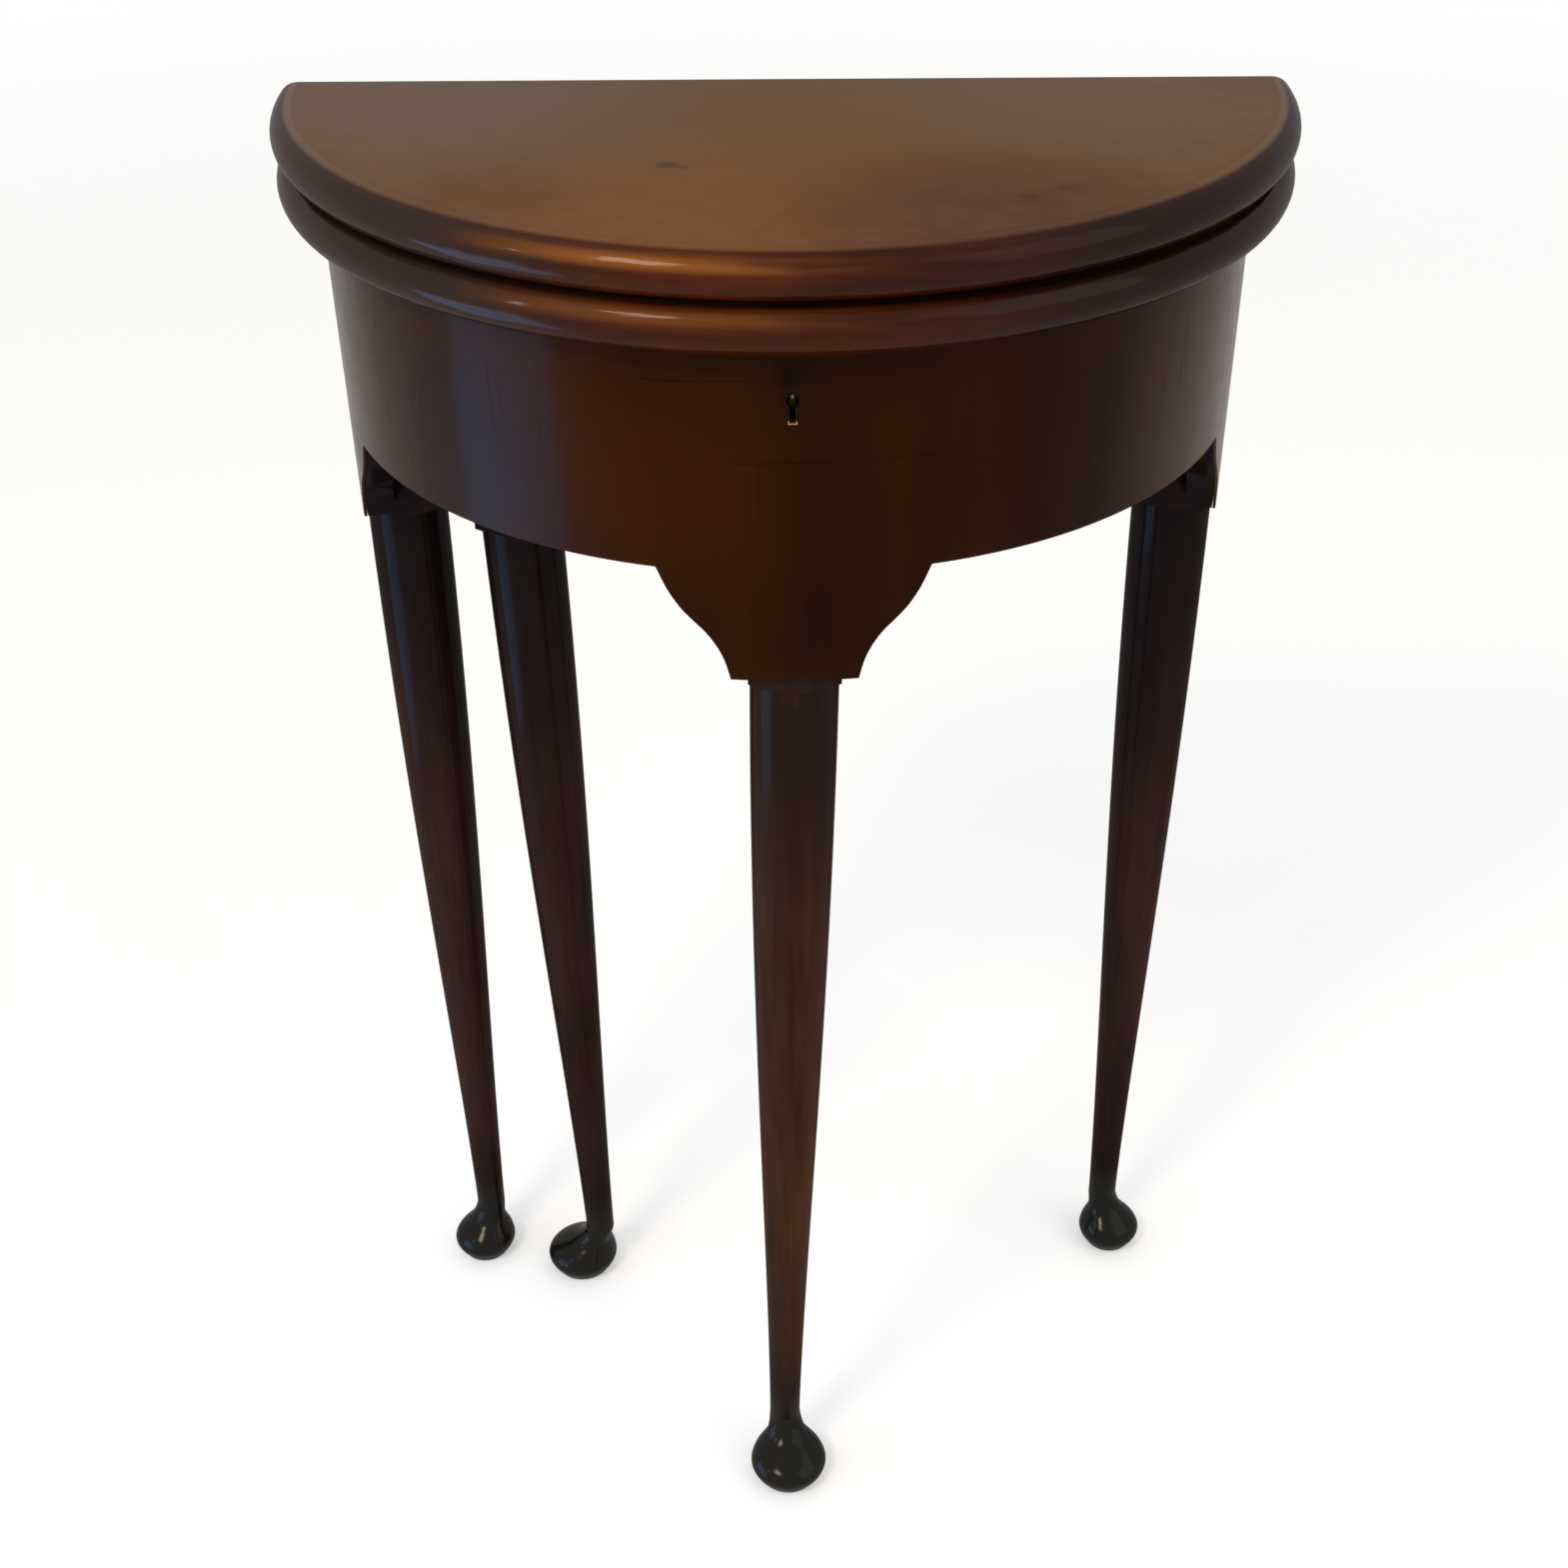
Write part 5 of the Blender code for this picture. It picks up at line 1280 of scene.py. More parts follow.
@dataclass
class Frieze:
    """The curved frieze: its veneer with three ogee drops, the ears behind them and the keyhole."""

    bench: Bench
    columns: int = 220
    rows: int = 12
    flat_half: float = 0.029
    flare: float = 0.0325
    rear_forward: float = 0.0085
    ear_thickness: float = 0.014
    ear_tip: float = 0.04
    key_radius: float = 0.0029
    slot_half: float = 0.0014
    slot_length: float = 0.0095
    lining_wall: float = 0.0006
    lining_length: float = 0.004
    drop_margin: float = 0.004
    end_margin: float = 0.001
    ogee: tuple[tuple[float, float], ...] = (
        (0, 0), (0.15, 0.195), (0.32, 0.35), (0.5, 0.465), (0.66, 0.56), (0.79, 0.665), (0.88, 0.765),
        (0.94, 0.86), (1, 1),
    )
    curve: list[tuple[float, float]] = field(init=False)

    def __post_init__(self) -> None:
        """Draw the ogee finely."""
        self.curve = eased(self.ogee, 5)

    @property
    def rear_angle(self) -> float:
        """Angle of the rear drops from the front."""
        return math.acos(-PLAN.rear_leg_y / PLAN.core_outer) - self.rear_forward / PLAN.frieze_radius

    @property
    def middles(self) -> tuple[float, float, float]:
        """Angles of the three drops."""
        return (-self.rear_angle, 0.0, self.rear_angle)

    def fall(self, angle: float) -> float:
        """Return how far the lower edge hangs below its straight line.

        Args:
            angle: Angle from the front.

        Returns:
            The fall in metres.
        """
        reach = min(abs(angle - middle) for middle in self.middles) * PLAN.frieze_radius
        inward = (self.flat_half + self.flare - reach) / self.flare
        if inward <= 0:
            return 0.0
        for (a, low), (b, high) in zip(self.curve, self.curve[1:]):
            if inward <= b:
                return PLAN.drop_depth * (low + (high - low) * (inward - a) / (b - a))
        return PLAN.drop_depth

    def stations(self, middle: float, tip: float = 0.0) -> list[float]:
        """Return the angles across one drop, from tip to tip.

        Args:
            middle: The drop's middle angle.
            tip: Share of the flare that is left out at each end.

        Returns:
            The angles in order.
        """
        shares = [tip] + [share for share, _ in self.curve if share > tip]
        reaches = [self.flat_half + self.flare * (1 - share) for share in shares]
        flat = [self.flat_half * k / 6 for k in range(-5, 6)]
        return sorted(middle + r / PLAN.frieze_radius for r in [*reaches, *flat, *(-r for r in reaches)])

    def panel(self, radius: float, thickness: float, angles: Sequence[float], top: float) -> BMesh:
        """Return a panel bent round the frieze's axis, with the frieze's lower edge.

        Args:
            radius: Its outer radius.
            thickness: How thick it is, inward.
            angles: Angles of its columns.
            top: Height of its upper edge.

        Returns:
            The closed shape.
        """
        bm = bmesh.new()
        last = len(angles) - 1
        bmesh.ops.create_grid(bm, x_segments=last, y_segments=self.rows, size=1)
        for vert in bm.verts:
            angle = angles[round((vert.co.x + 1) / 2 * last)]
            low = PLAN.frieze_bottom - self.fall(angle)
            height = low + (top - low) * (vert.co.y + 1) / 2
            vert.co = (radius * math.sin(angle), -radius * math.cos(angle), height)
        bmesh.ops.recalc_face_normals(bm, faces=bm.faces)
        if bm.faces[:][0].normal.dot(bm.faces[:][0].calc_center_median() * Vector((1, 1, 0))) < 0:
            bmesh.ops.reverse_faces(bm, faces=bm.faces)
        bmesh.ops.solidify(bm, geom=bm.faces[:], thickness=thickness)
        return squeeze(bm)

    def band_angles(self) -> list[float]:
        """Return the angles of the veneer's columns, closer together over the drops.

        Returns:
            The angles in order.
        """
        end = math.acos(PLAN.back_inset / PLAN.frieze_radius)
        half = (self.flat_half + self.flare) / PLAN.frieze_radius
        even = [-end + 2 * end * i / self.columns for i in range(self.columns + 1)]
        angles = {a for a in even if min(abs(a - middle) for middle in self.middles) > half + self.drop_margin}
        for middle in self.middles:
            angles.update(a for a in self.stations(middle) if abs(a) < end - self.end_margin)
        angles.update((-end, end))
        return sorted(angles)

    def keyhole(self, margin: float, front: float, back: float) -> list[BMesh]:
        """Return the round and the slot of the keyhole.

        Args:
            margin: How much wider than the keyhole they are.
            front: Where they begin.
            back: Where they end.

        Returns:
            The two shapes.
        """
        half = self.slot_half + margin
        low = PLAN.key_z - self.slot_length - margin
        return [
            rod((0, front, PLAN.key_z), BACK, back - front, self.key_radius + margin, 40),
            brick((-half, front, low), (half, back, PLAN.key_z)),
        ]

    def build(self) -> None:
        """Make the veneer, the lining and the ears."""
        front = -PLAN.frieze_radius
        band = Blank(self.panel(PLAN.frieze_radius, PLAN.veneer_thickness, self.band_angles(), PLAN.frame_top))
        band.cut(*self.keyhole(self.lining_wall + PLAN.seat_gap, front - OVERRUN, front + OVERRUN))
        self.bench.finish(band, "frieze_veneer", MAHOGANY_FRIEZE, Body.FRAME)
        lining_round, lining_slot = self.keyhole(self.lining_wall, front, front + self.lining_length)
        lining = Blank(lining_round).join(lining_slot).cut(*self.keyhole(0, front - OVERRUN, front + OVERRUN))
        self.bench.finish(lining.break_edges(METAL_ARRIS, 60), "keyhole_lining", DULL_BRASS, Body.FRAME)
        self.ears()

    def ears(self) -> None:
        """Make the ears behind the drops."""
        top = PLAN.frieze_bottom - PLAN.seat_gap
        wide, slot = PLAN.core_outer + OVERRUN, PLAN.block_half + PLAN.seat_gap
        low, high = PLAN.shoulder, PLAN.frieze_bottom + OVERRUN
        # The ears take the leg finish, whose painted shade shows them dark, as in the shadow under the frieze.
        for side, word in SIDES:
            ear = Blank(self.panel(PLAN.core_outer, self.ear_thickness, self.stations(0, self.ear_tip), top))
            near, far = sorted((side * slot, -side * wide))
            ear.cut(brick((near, -wide, low), (far, 0, high)))
            self.bench.finish(ear.break_edges(ARRIS), f"front_ear_{word}", MAHOGANY_LEG, Body.FRAME)
            angles = self.stations(side * self.rear_angle, self.ear_tip)
            ear = Blank(self.panel(PLAN.core_outer, self.ear_thickness, angles, top))
            ear.cut(brick((-wide, PLAN.inner_rail_back, low), (wide, wide, high)))
            self.bench.finish(ear.break_edges(ARRIS), f"rear_ear_{word}", MAHOGANY_LEG, Body.FRAME)


@dataclass
class Legs:
    """The four turned legs with their blocks and offset pad feet."""

    bench: Bench
    sides: int = 72
    shaft_steps: int = 40
    foot_steps: int = 6
    shoulder_rise: float = 0.01
    shoulder_tail: float = 0.004
    envelope: float = 0.0375
    top_radius: float = 0.0205
    ankle_radius: float = 0.0088
    ankle_height: float = 0.037
    taper: float = 1.38
    pad_radius: float = 0.0222
    rear_pad_radius: float = 0.0195
    pad_height: float = 0.0116
    undercut: float = 0.005
    instep: tuple[tuple[float, float], ...] = (
        (0, 0), (0.06, 0.256), (0.216, 0.465), (0.522, 0.63), (0.843, 0.807), (1, 1),
    )
    sole: tuple[tuple[float, float], ...] = ((0, 1), (0.18, 0.62), (0.64, 0.26), (1, 0))
    front_ankle: tuple[float, float] = (-0.0096, 0.0)
    front_pad: tuple[float, float] = (-0.0078, -0.0155)
    rear_ankle_out: float = 0.0028
    rear_pad_out: float = 0.008
    rear_pad_forward: float = 0.0073
    gate_ankle: tuple[float, float] = (0.009, 0.0)
    gate_pad: tuple[float, float] = (-0.004, 0.002)
    gate_spacing: float = 0.062
    key_reach: float = 0.005

    @property
    def gate_x(self) -> float:
        """Place of the gate leg, beside the left rear leg."""
        return self.gate_spacing - PLAN.rear_leg_x

    def outline(self, pad_radius: float) -> list[tuple[float, float]]:
        """Return the turned outline from the top of the shaft to the floor.

        Args:
            pad_radius: Radius of the pad's rim.

        Returns:
            Radius and height of each point.
        """
        length = PLAN.shoulder - self.ankle_height
        points = [(0, PLAN.shoulder + self.shoulder_tail), (self.top_radius, PLAN.shoulder + self.shoulder_tail)]
        for i in range(self.shaft_steps):
            share = 1 - i / self.shaft_steps
            swell = math.sin(math.pi / 2 * share) ** self.taper
            radius = self.ankle_radius + (self.top_radius - self.ankle_radius) * swell
            points.append((radius, self.ankle_height + length * share))
        foot = [
            (self.ankle_radius + (pad_radius - self.ankle_radius) * out,
             self.ankle_height + (self.pad_height - self.ankle_height) * down)
            for out, down in self.instep
        ]
        foot += [(pad_radius - self.undercut * under, self.pad_height * left) for under, left in self.sole[1:]]
        return [*points, *[(min(radius, pad_radius), z) for radius, z in eased(foot, self.foot_steps)], (0, 0)]

    def shaft(
        self, place: tuple[float, float], ankle: tuple[float, float], pad: tuple[float, float], pad_radius: float
    ) -> BMesh:
        """Return the turned shaft and pad foot, with its centre line drawn to the ankle and the pad.

        Args:
            place: Centre of the leg's block.
            ankle: How far the ankle stands off it.
            pad: How far the pad stands off it.
            pad_radius: Radius of the pad's rim.

        Returns:
            The closed shape.
        """
        bm = lathe(self.outline(pad_radius), self.sides)
        for vert in bm.verts:
            z = vert.co.z
            down = min(max((PLAN.shoulder - z) / (PLAN.shoulder - self.ankle_height), 0), 1)
            foot = min(max((self.ankle_height - z) / (self.ankle_height - self.pad_height), 0), 1)
            ease = foot * foot * (3 - 2 * foot)
            shift = [p + a * down + (b - a) * ease for p, a, b in zip(place, ankle, pad)]
            vert.co += Vector((*shift, 0))
        return bm

    def block(self, place: tuple[float, float], low: tuple[float, float], high: tuple[float, float]) -> Blank:
        """Return a leg's square block, turned at its shoulder.

        Args:
            place: The turning's axis.
            low: Lowest x and y.
            high: Highest x and y.

        Returns:
            The blank.
        """
        bottom, core = PLAN.shoulder - self.shoulder_tail, self.top_radius - PLAN.run_gap
        top = PLAN.frame_top
        profile = [
            (0, top + OVERRUN), (self.envelope, top + OVERRUN),
            (self.envelope, PLAN.shoulder + self.shoulder_rise), (core, PLAN.shoulder), (core, bottom), (0, bottom),
        ]
        turning = moved(lathe(profile, self.sides), (*place, 0))
        return Blank(brick((*low, bottom - OVERRUN), (*high, top))).keep(turning)

    def within_frieze(self) -> BMesh:
        """Return the disc that the frieze's legs stay inside."""
        return squeeze(rod((0, 0, 0), UP, PLAN.height, PLAN.core_outer, 256))

    def build(self) -> None:
        """Make the four legs."""
        half = PLAN.block_half
        back = PLAN.block_width - PLAN.core_outer
        place = (0, back - half)
        leg = self.block(place, (-half, -PLAN.core_outer - OVERRUN), (half, back)).keep(self.within_frieze())
        leg.join(self.shaft(place, self.front_ankle, self.front_pad, self.pad_radius))
        wide = half + OVERRUN
        leg.cut(brick(
            (-wide, PLAN.head_back, PLAN.frieze_bottom - PLAN.seat_gap),
            (wide, back + OVERRUN, PLAN.frame_top + OVERRUN),
        ))
        self.front_mortises(leg)
        self.bench.finish(leg.break_edges(ARRIS), "front_leg", LIT_FRONT_LEG, Body.FRAME)
        for side, word in SIDES:
            place = (side * PLAN.rear_leg_x, PLAN.rear_leg_y)
            ends = sorted((side * (PLAN.rear_leg_x - half), side * (PLAN.core_outer + OVERRUN)))
            leg = self.block(place, (ends[0], PLAN.inner_rail_back + PLAN.seat_gap), (ends[1], -PLAN.back_inset))
            leg.keep(self.within_frieze())
            pad = (side * self.rear_pad_out, -self.rear_pad_forward)
            leg.join(self.shaft(place, (side * self.rear_ankle_out, 0), pad, self.rear_pad_radius))
            self.bench.finish(leg.break_edges(ARRIS), f"rear_leg_{word}", MAHOGANY_LEG, Body.FRAME)
        self.gate_leg()

    def front_mortises(self, leg: Blank) -> None:
        """Cut the lock's mortise and the keyhole in the front leg's head.

        Args:
            leg: The front leg's blank.
        """
        low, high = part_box("lock_case")
        key, lock, gap = Frieze(self.bench), Lock(self.bench), PLAN.seat_gap
        wide, case_front, top = lock.half_width + gap, low.y - TABLE_BACK, high.z + OVERRUN
        leg.cut(brick((-wide, case_front - gap, low.z + lock.wall - gap), (wide, 0, top)))
        leg.cut(brick((low.x - gap, PLAN.head_back - lock.wall - gap, low.z - gap), (high.x + gap, 0, top)))
        front = -PLAN.frieze_radius - OVERRUN
        leg.cut(*key.keyhole(key.lining_wall + gap, front, key.lining_length + gap - PLAN.frieze_radius))
        leg.cut(*key.keyhole(0, front, case_front + self.key_reach))

    def gate_leg(self) -> None:
        """Make the gate leg, whose block is cut back to a tongue behind the inner rail."""
        half = PLAN.block_half
        front = PLAN.inner_rail_back + PLAN.run_gap
        back = front + PLAN.gate_rail_thickness
        place = (self.gate_x, back - half)
        leg = self.block(place, (self.gate_x - half, place[1] - half), (self.gate_x + half, back))
        leg.join(self.shaft(place, self.gate_ankle, self.gate_pad, self.pad_radius))
        shoulder = PLAN.frieze_bottom + PLAN.seat_gap - PLAN.run_gap
        wide = half + OVERRUN
        leg.cut(brick(
            (self.gate_x - wide, place[1] - half - OVERRUN, shoulder),
            (self.gate_x + wide, front, PLAN.frame_top + OVERRUN),
        ))
        leg.break_edges(ARRIS)
        gate = Gate(self.bench, self.gate_x)
        leg.cut(gate.tenon(PLAN.seat_gap), *[gate.peg(z, PLAN.seat_gap) for z in gate.peg_heights])
        self.bench.finish(leg, "gate_leg", MAHOGANY_LEG, Body.GATE)


@dataclass
class Carcass:
    """The rails inside the frieze and the well's board."""

    bench: Bench
    rail_thickness: float = 0.016
    board_thickness: float = 0.006
    rebate: float = 0.006
    sides: int = 256

    def disc(self, radius: float, low: float, high: float) -> BMesh:
        """Return an upright disc with the frieze's outline."""
        return squeeze(rod((0, 0, low), UP, high - low, radius, self.sides))

    @property
    def board_bottom(self) -> float:
        """Height of the well board's underside."""
        return PLAN.frieze_bottom + PLAN.seat_gap

    def curved_rail(self, side: int) -> Blank:
        """Return one of the two curved rails, rebated for the board.

        Args:
            side: -1 for the left one, 1 for the right one.

        Returns:
            The blank.
        """
        low, high = PLAN.frieze_bottom, PLAN.frame_top
        wide, slot = PLAN.core_outer + OVERRUN, PLAN.block_half + PLAN.seat_gap
        floor, roof = low - OVERRUN, high + OVERRUN
        near, far = sorted((side * slot, -side * wide))
        rebate_top = self.board_bottom + self.board_thickness + PLAN.seat_gap
        rail = Blank(self.disc(PLAN.core_outer, low, high))
        rail.cut(
            self.disc(PLAN.core_inner, floor, roof),
            self.disc(PLAN.core_inner + self.rebate, floor, rebate_top),
            brick((near, -wide, floor), (far, wide, roof)),
            brick((-wide, PLAN.inner_rail_back, floor), (wide, wide, roof)),
        )
        return rail.break_edges(ARRIS)

    def inner_rail(self) -> Blank:
        """Return the straight rail behind the well, with the holes of the hinge rail's screws.

        Returns:
            The blank.
        """
        front = PLAN.inner_rail_back - self.rail_thickness
        wide = PLAN.core_outer
        low = PLAN.frieze_bottom + PLAN.rail_lift
        rail = Blank(brick((-wide, front, low), (wide, PLAN.inner_rail_back, PLAN.frame_top)))
        rail.keep(self.disc(PLAN.core_inner - PLAN.seat_gap, PLAN.frieze_bottom, PLAN.frame_top + OVERRUN))
        rail.break_edges(SOFT_ARRIS)
        places = Gate(self.bench, Legs(self.bench).gate_x).screw_places
        return rail.cut(*RAIL_SCREW.holes(places, BACK))

    def board(self) -> Blank:
        """Return the board under the well.

        Returns:
            The blank.
        """
        low = self.board_bottom
        high = low + self.board_thickness
        front = PLAN.inner_rail_back - self.rail_thickness - PLAN.seat_gap
        wide, slot = PLAN.core_outer + OVERRUN, PLAN.block_half + PLAN.seat_gap
        board = Blank(self.disc(PLAN.core_inner + self.rebate - PLAN.seat_gap, low, high))
        board.cut(
            brick((-wide, front, low - OVERRUN), (wide, wide, high + OVERRUN)),
            brick((-slot, -wide, low - OVERRUN), (slot, PLAN.head_back + PLAN.seat_gap, high + OVERRUN)),
        )
        return board.break_edges(ARRIS)

    def build(self) -> None:
        """Make the rails and the board."""
        for side, word in SIDES:
            self.bench.finish(self.curved_rail(side), f"frieze_rail_{word}", BLOCKED_DEAL, Body.FRAME)
        self.bench.finish(self.inner_rail(), "inner_back_rail", DEAL, Body.FRAME)
        self.bench.finish(self.board(), "well_board", DEAL, Body.FRAME)


@dataclass(frozen=True)
class Screw:
    """A countersunk wood screw with a slotted head."""

    head_radius: float
    head_depth: float
    radius: float
    length: float
    sides: int = 32
    core_share: float = 0.74
    shank_share: float = 0.9
    pitch_share: float = 0.9
    smooth_share: float = 0.38
    point_share: float = 2.2
    slot_width_share: float = 0.14
    slot_depth_share: float = 0.5

    def outline(self) -> list[tuple[float, float]]:
        """Return the turned outline from the head's face to the point, with the thread as rings.

        Returns:
            Radius and height of each point.
        """
        core, shank, pitch = (s * self.radius for s in (self.core_share, self.shank_share, self.pitch_share))
        depth = self.smooth_share * self.length
        points = [(0, 0), (0.96 * self.head_radius, 0), (self.head_radius, -0.06 * self.head_depth)]
        points += [(shank, -self.head_depth), (shank, -depth)]
        while depth < self.length - self.point_share * self.radius:
            points += [(core, -depth - 0.3 * pitch), (self.radius, -depth - 0.65 * pitch), (core, -depth - pitch)]
            depth += pitch
        return [*points, (0, -self.length)]

    def blank(self, place: Sequence[float], outward: Sequence[float], turn: float) -> Blank:
        """Return the screw with its head's face at a place.

        Args:
            place: Middle of the head's face.
            outward: The way that the head faces.
            turn: Angle of the slot in degrees.

        Returns:
            The blank.
        """
        wide, half = 2 * self.head_radius, self.slot_width_share * self.head_radius
        slot = brick((-wide, -half, -self.slot_depth_share * self.head_depth), (wide, half, OVERRUN))
        slot = aim(turned(slot, math.radians(turn)), place, outward)
        return Blank(aim(lathe(self.outline(), self.sides), place, outward)).cut(slot)

    def hole(self, place: Sequence[float], outward: Sequence[float]) -> BMesh:
        """Return the cutter of the screw's hole, a seating gap wider than the screw.

        Args:
            place: Middle of the head's face.
            outward: The way that the head faces.

        Returns:
            The cutter.
        """
        gap = PLAN.seat_gap
        wide, narrow, end = self.head_radius + gap, self.radius + gap, -self.length - gap
        profile = [(0, OVERRUN), (wide, OVERRUN), (wide, 0), (narrow, -self.head_depth), (narrow, end), (0, end)]
        return aim(lathe(profile, self.sides), place, outward)

    def holes(self, places: Iterable[Point], outward: Sequence[float]) -> list[BMesh]:
        """Return the cutters of a row of screws."""
        return [self.hole(place, outward) for place in places]


SMALL_SCREW = Screw(0.0017, 0.0011, 0.001, 0.009)
RAIL_SCREW = Screw(0.0042, 0.0025, 0.0022, 0.026)
LOCK_SCREW = Screw(0.0013, 0.0009, 0.0007, 0.006)


def pin(start: Sequence[float], direction: Sequence[float], length: float, radius: float, sides: int = 32) -> BMesh:
    """Return a pin with softly rounded ends.

    Args:
        start: Middle of its first end.
        direction: The way it runs.
        length: Its length.
        radius: Its radius.
        sides: Number of its sides.

    Returns:
        The closed shape.
    """
    soft = 0.35 * radius
    profile = [(0, 0), (radius - soft, 0), (radius - 0.3 * soft, 0.3 * soft), (radius, soft)]
    profile += [(r, length - z) for r, z in reversed(profile)]
    return aim(lathe(profile, sides), start, direction)


@dataclass
class Gate:
    """The wooden knuckle hinge: its two rails, their iron pin and the tenon with its pegs."""

    bench: Bench
    leg_x: float
    thickness: float = PLAN.gate_rail_thickness
    top_drop: float = 0.0015
    axis_x: float = 0.05
    fingers: int = 5
    pin_radius: float = 0.0025
    head_radius: float = 0.0045
    pin_chamfer: float = 0.0004
    head_steps: tuple[tuple[float, float], ...] = (
        (0.0002, 0), (0, 0.0002), (0, 0.0005), (0.0006, 0.0008), (0.0016, 0.00095),
    )
    head_thickness: float = 0.001
    clearance: float = 0.0002
    tenon_thickness: float = 0.006
    tenon_length: float = 0.022
    tenon_shoulder: float = 0.009
    peg_radius: float = 0.003
    sides: int = 64

    @property
    def front(self) -> float:
        """Place of the rails' front faces."""
        return PLAN.inner_rail_back + PLAN.run_gap

    @property
    def axis_y(self) -> float:
        """Place of the knuckle's axis."""
        return self.front + self.thickness / 2

    @property
    def low(self) -> float:
        """Height of the rails' lower edges."""
        return PLAN.frieze_bottom + PLAN.rail_lift

    @property
    def high(self) -> float:
        """Height of the rails' upper edges."""
        return PLAN.frame_top - self.top_drop

    @property
    def peg_heights(self) -> tuple[float, float]:
        """Heights of the two pegs."""
        middle, step = (self.low + self.high) / 2, (self.high - self.low) / 4
        return middle - step, middle + step

    @property
    def screw_places(self) -> tuple[Point, ...]:
        """Places of the four screws through the hinge rail."""
        middle, step = (self.low + self.high) / 2, (self.high - self.low) / 4
        back = self.front + self.thickness
        near, far = self.axis_x + self.thickness + RAIL_SCREW.head_radius, PLAN.rear_leg_x - PLAN.block_width
        return tuple((x, back, middle + up * step) for x, up in ((near, 1), (far, -1), (near, -1), (far, 1)))

    def peg(self, z: float, margin: float) -> BMesh:
        """Return a peg, or its hole.

        Args:
            z: Height of its axis.
            margin: 0 for the peg, or how much wider its hole is.

        Returns:
            The closed shape.
        """
        x = self.leg_x + PLAN.block_half - self.tenon_length / 2
        if margin:
            start = (x, self.front - OVERRUN, z)
            return rod(start, BACK, self.thickness + 2 * OVERRUN, self.peg_radius + margin, 32)
        return pin((x, self.front, z), BACK, self.thickness, self.peg_radius, 10)

    def tenon(self, margin: float) -> BMesh:
        """Return the tenon, or its mortise.

        Args:
            margin: 0 for the tenon, or how much wider its mortise is.

        Returns:
            The closed shape.
        """
        face, half = self.leg_x + PLAN.block_half, self.tenon_thickness / 2 + margin
        return brick(
            (face - self.tenon_length - margin, self.axis_y - half, self.low + self.tenon_shoulder - margin),
            (face + 2 * PLAN.seat_gap, self.axis_y + half, self.high - self.tenon_shoulder + margin),
        )

    def knuckled(self, side: int, far_end: float, first: int, gap: float) -> Blank:
        """Return a rail that ends in round fingers about the pin.

        Args:
            side: 1 where the rail runs to the right of the pin, -1 to the left.
            far_end: Place of its other end.
            first: The first finger space that is cut away.
            gap: Clearance above and below the other rail's fingers.

        Returns:
            The blank.
        """
        start, end = sorted((self.axis_x, far_end))
        half = self.thickness / 2
        rail = Blank(brick((start, self.front, self.low), (end, self.front + self.thickness, self.high)))
        size = half + OVERRUN
        wedge = brick((-size, 0, self.low - OVERRUN), (size, 2 * size, self.high + OVERRUN))
        wedge = moved(turned(wedge, side * math.pi / 4), (self.axis_x, self.axis_y - PLAN.run_gap, 0))
        axis = (self.axis_x, self.axis_y)
        rail.cut(wedge).join(rod((*axis, self.low), UP, self.high - self.low, half, self.sides))
        heights = [self.low + (self.high - self.low) * i / self.fingers for i in range(self.fingers + 1)]
        for low, high in list(zip(heights, heights[1:]))[first::2]:
            bottom = low - gap if low > heights[0] else low - OVERRUN
            top = high + gap if high < heights[-1] else high + OVERRUN
            rail.cut(rod((*axis, bottom), UP, top - bottom, half + PLAN.run_gap, self.sides))
        bore = self.pin_radius + self.clearance
        rail.cut(rod((*axis, self.low - OVERRUN), UP, self.high - self.low + 2 * OVERRUN, bore, 48))
        return rail

    def build(self) -> None:
        """Make the rails, the screws, the pegs and the pin."""
        fixed = self.knuckled(1, PLAN.rear_leg_x - PLAN.block_half - PLAN.seat_gap, 1, 0).break_edges(SOFT_ARRIS)
        fixed.cut(*RAIL_SCREW.holes(self.screw_places, BACK))
        self.bench.finish(fixed, "hinge_rail", MAHOGANY_RAIL, Body.FRAME)
        turns = (24, 101, 66, 140)
        self.bench.drive(RAIL_SCREW, "rail_screw", self.screw_places, turns, IRON, Body.FRAME, in_cad=2)
        swing = self.knuckled(-1, self.leg_x + PLAN.block_half + PLAN.seat_gap, 0, PLAN.seat_gap)
        swing.break_edges(SOFT_ARRIS).join(self.tenon(0))
        swing.cut(*[self.peg(z, PLAN.seat_gap) for z in self.peg_heights])
        self.bench.finish(swing, "fly_rail", MAHOGANY_RAIL, Body.GATE)
        for number, z in enumerate(self.peg_heights, 1):
            self.bench.finish(Blank(self.peg(z, 0)), f"tenon_peg_{number}", MAHOGANY_RAIL, Body.GATE)
        self.bench.finish(Blank(self.knuckle_pin()), "knuckle_pin", IRON, Body.FRAME)

    def knuckle_pin(self) -> BMesh:
        """Return the knuckle's pin with its domed head.

        Returns:
            The closed shape.
        """
        base = self.high + PLAN.seat_gap / 2
        profile = [
            (0, self.low), (self.pin_radius - self.pin_chamfer, self.low),
            (self.pin_radius, self.low + self.pin_chamfer), (self.pin_radius, base),
            *[(self.head_radius - inward, base + up) for inward, up in self.head_steps],
            (0, base + self.head_thickness),
        ]
        return moved(lathe(profile, 48), (self.axis_x, self.axis_y, 0))


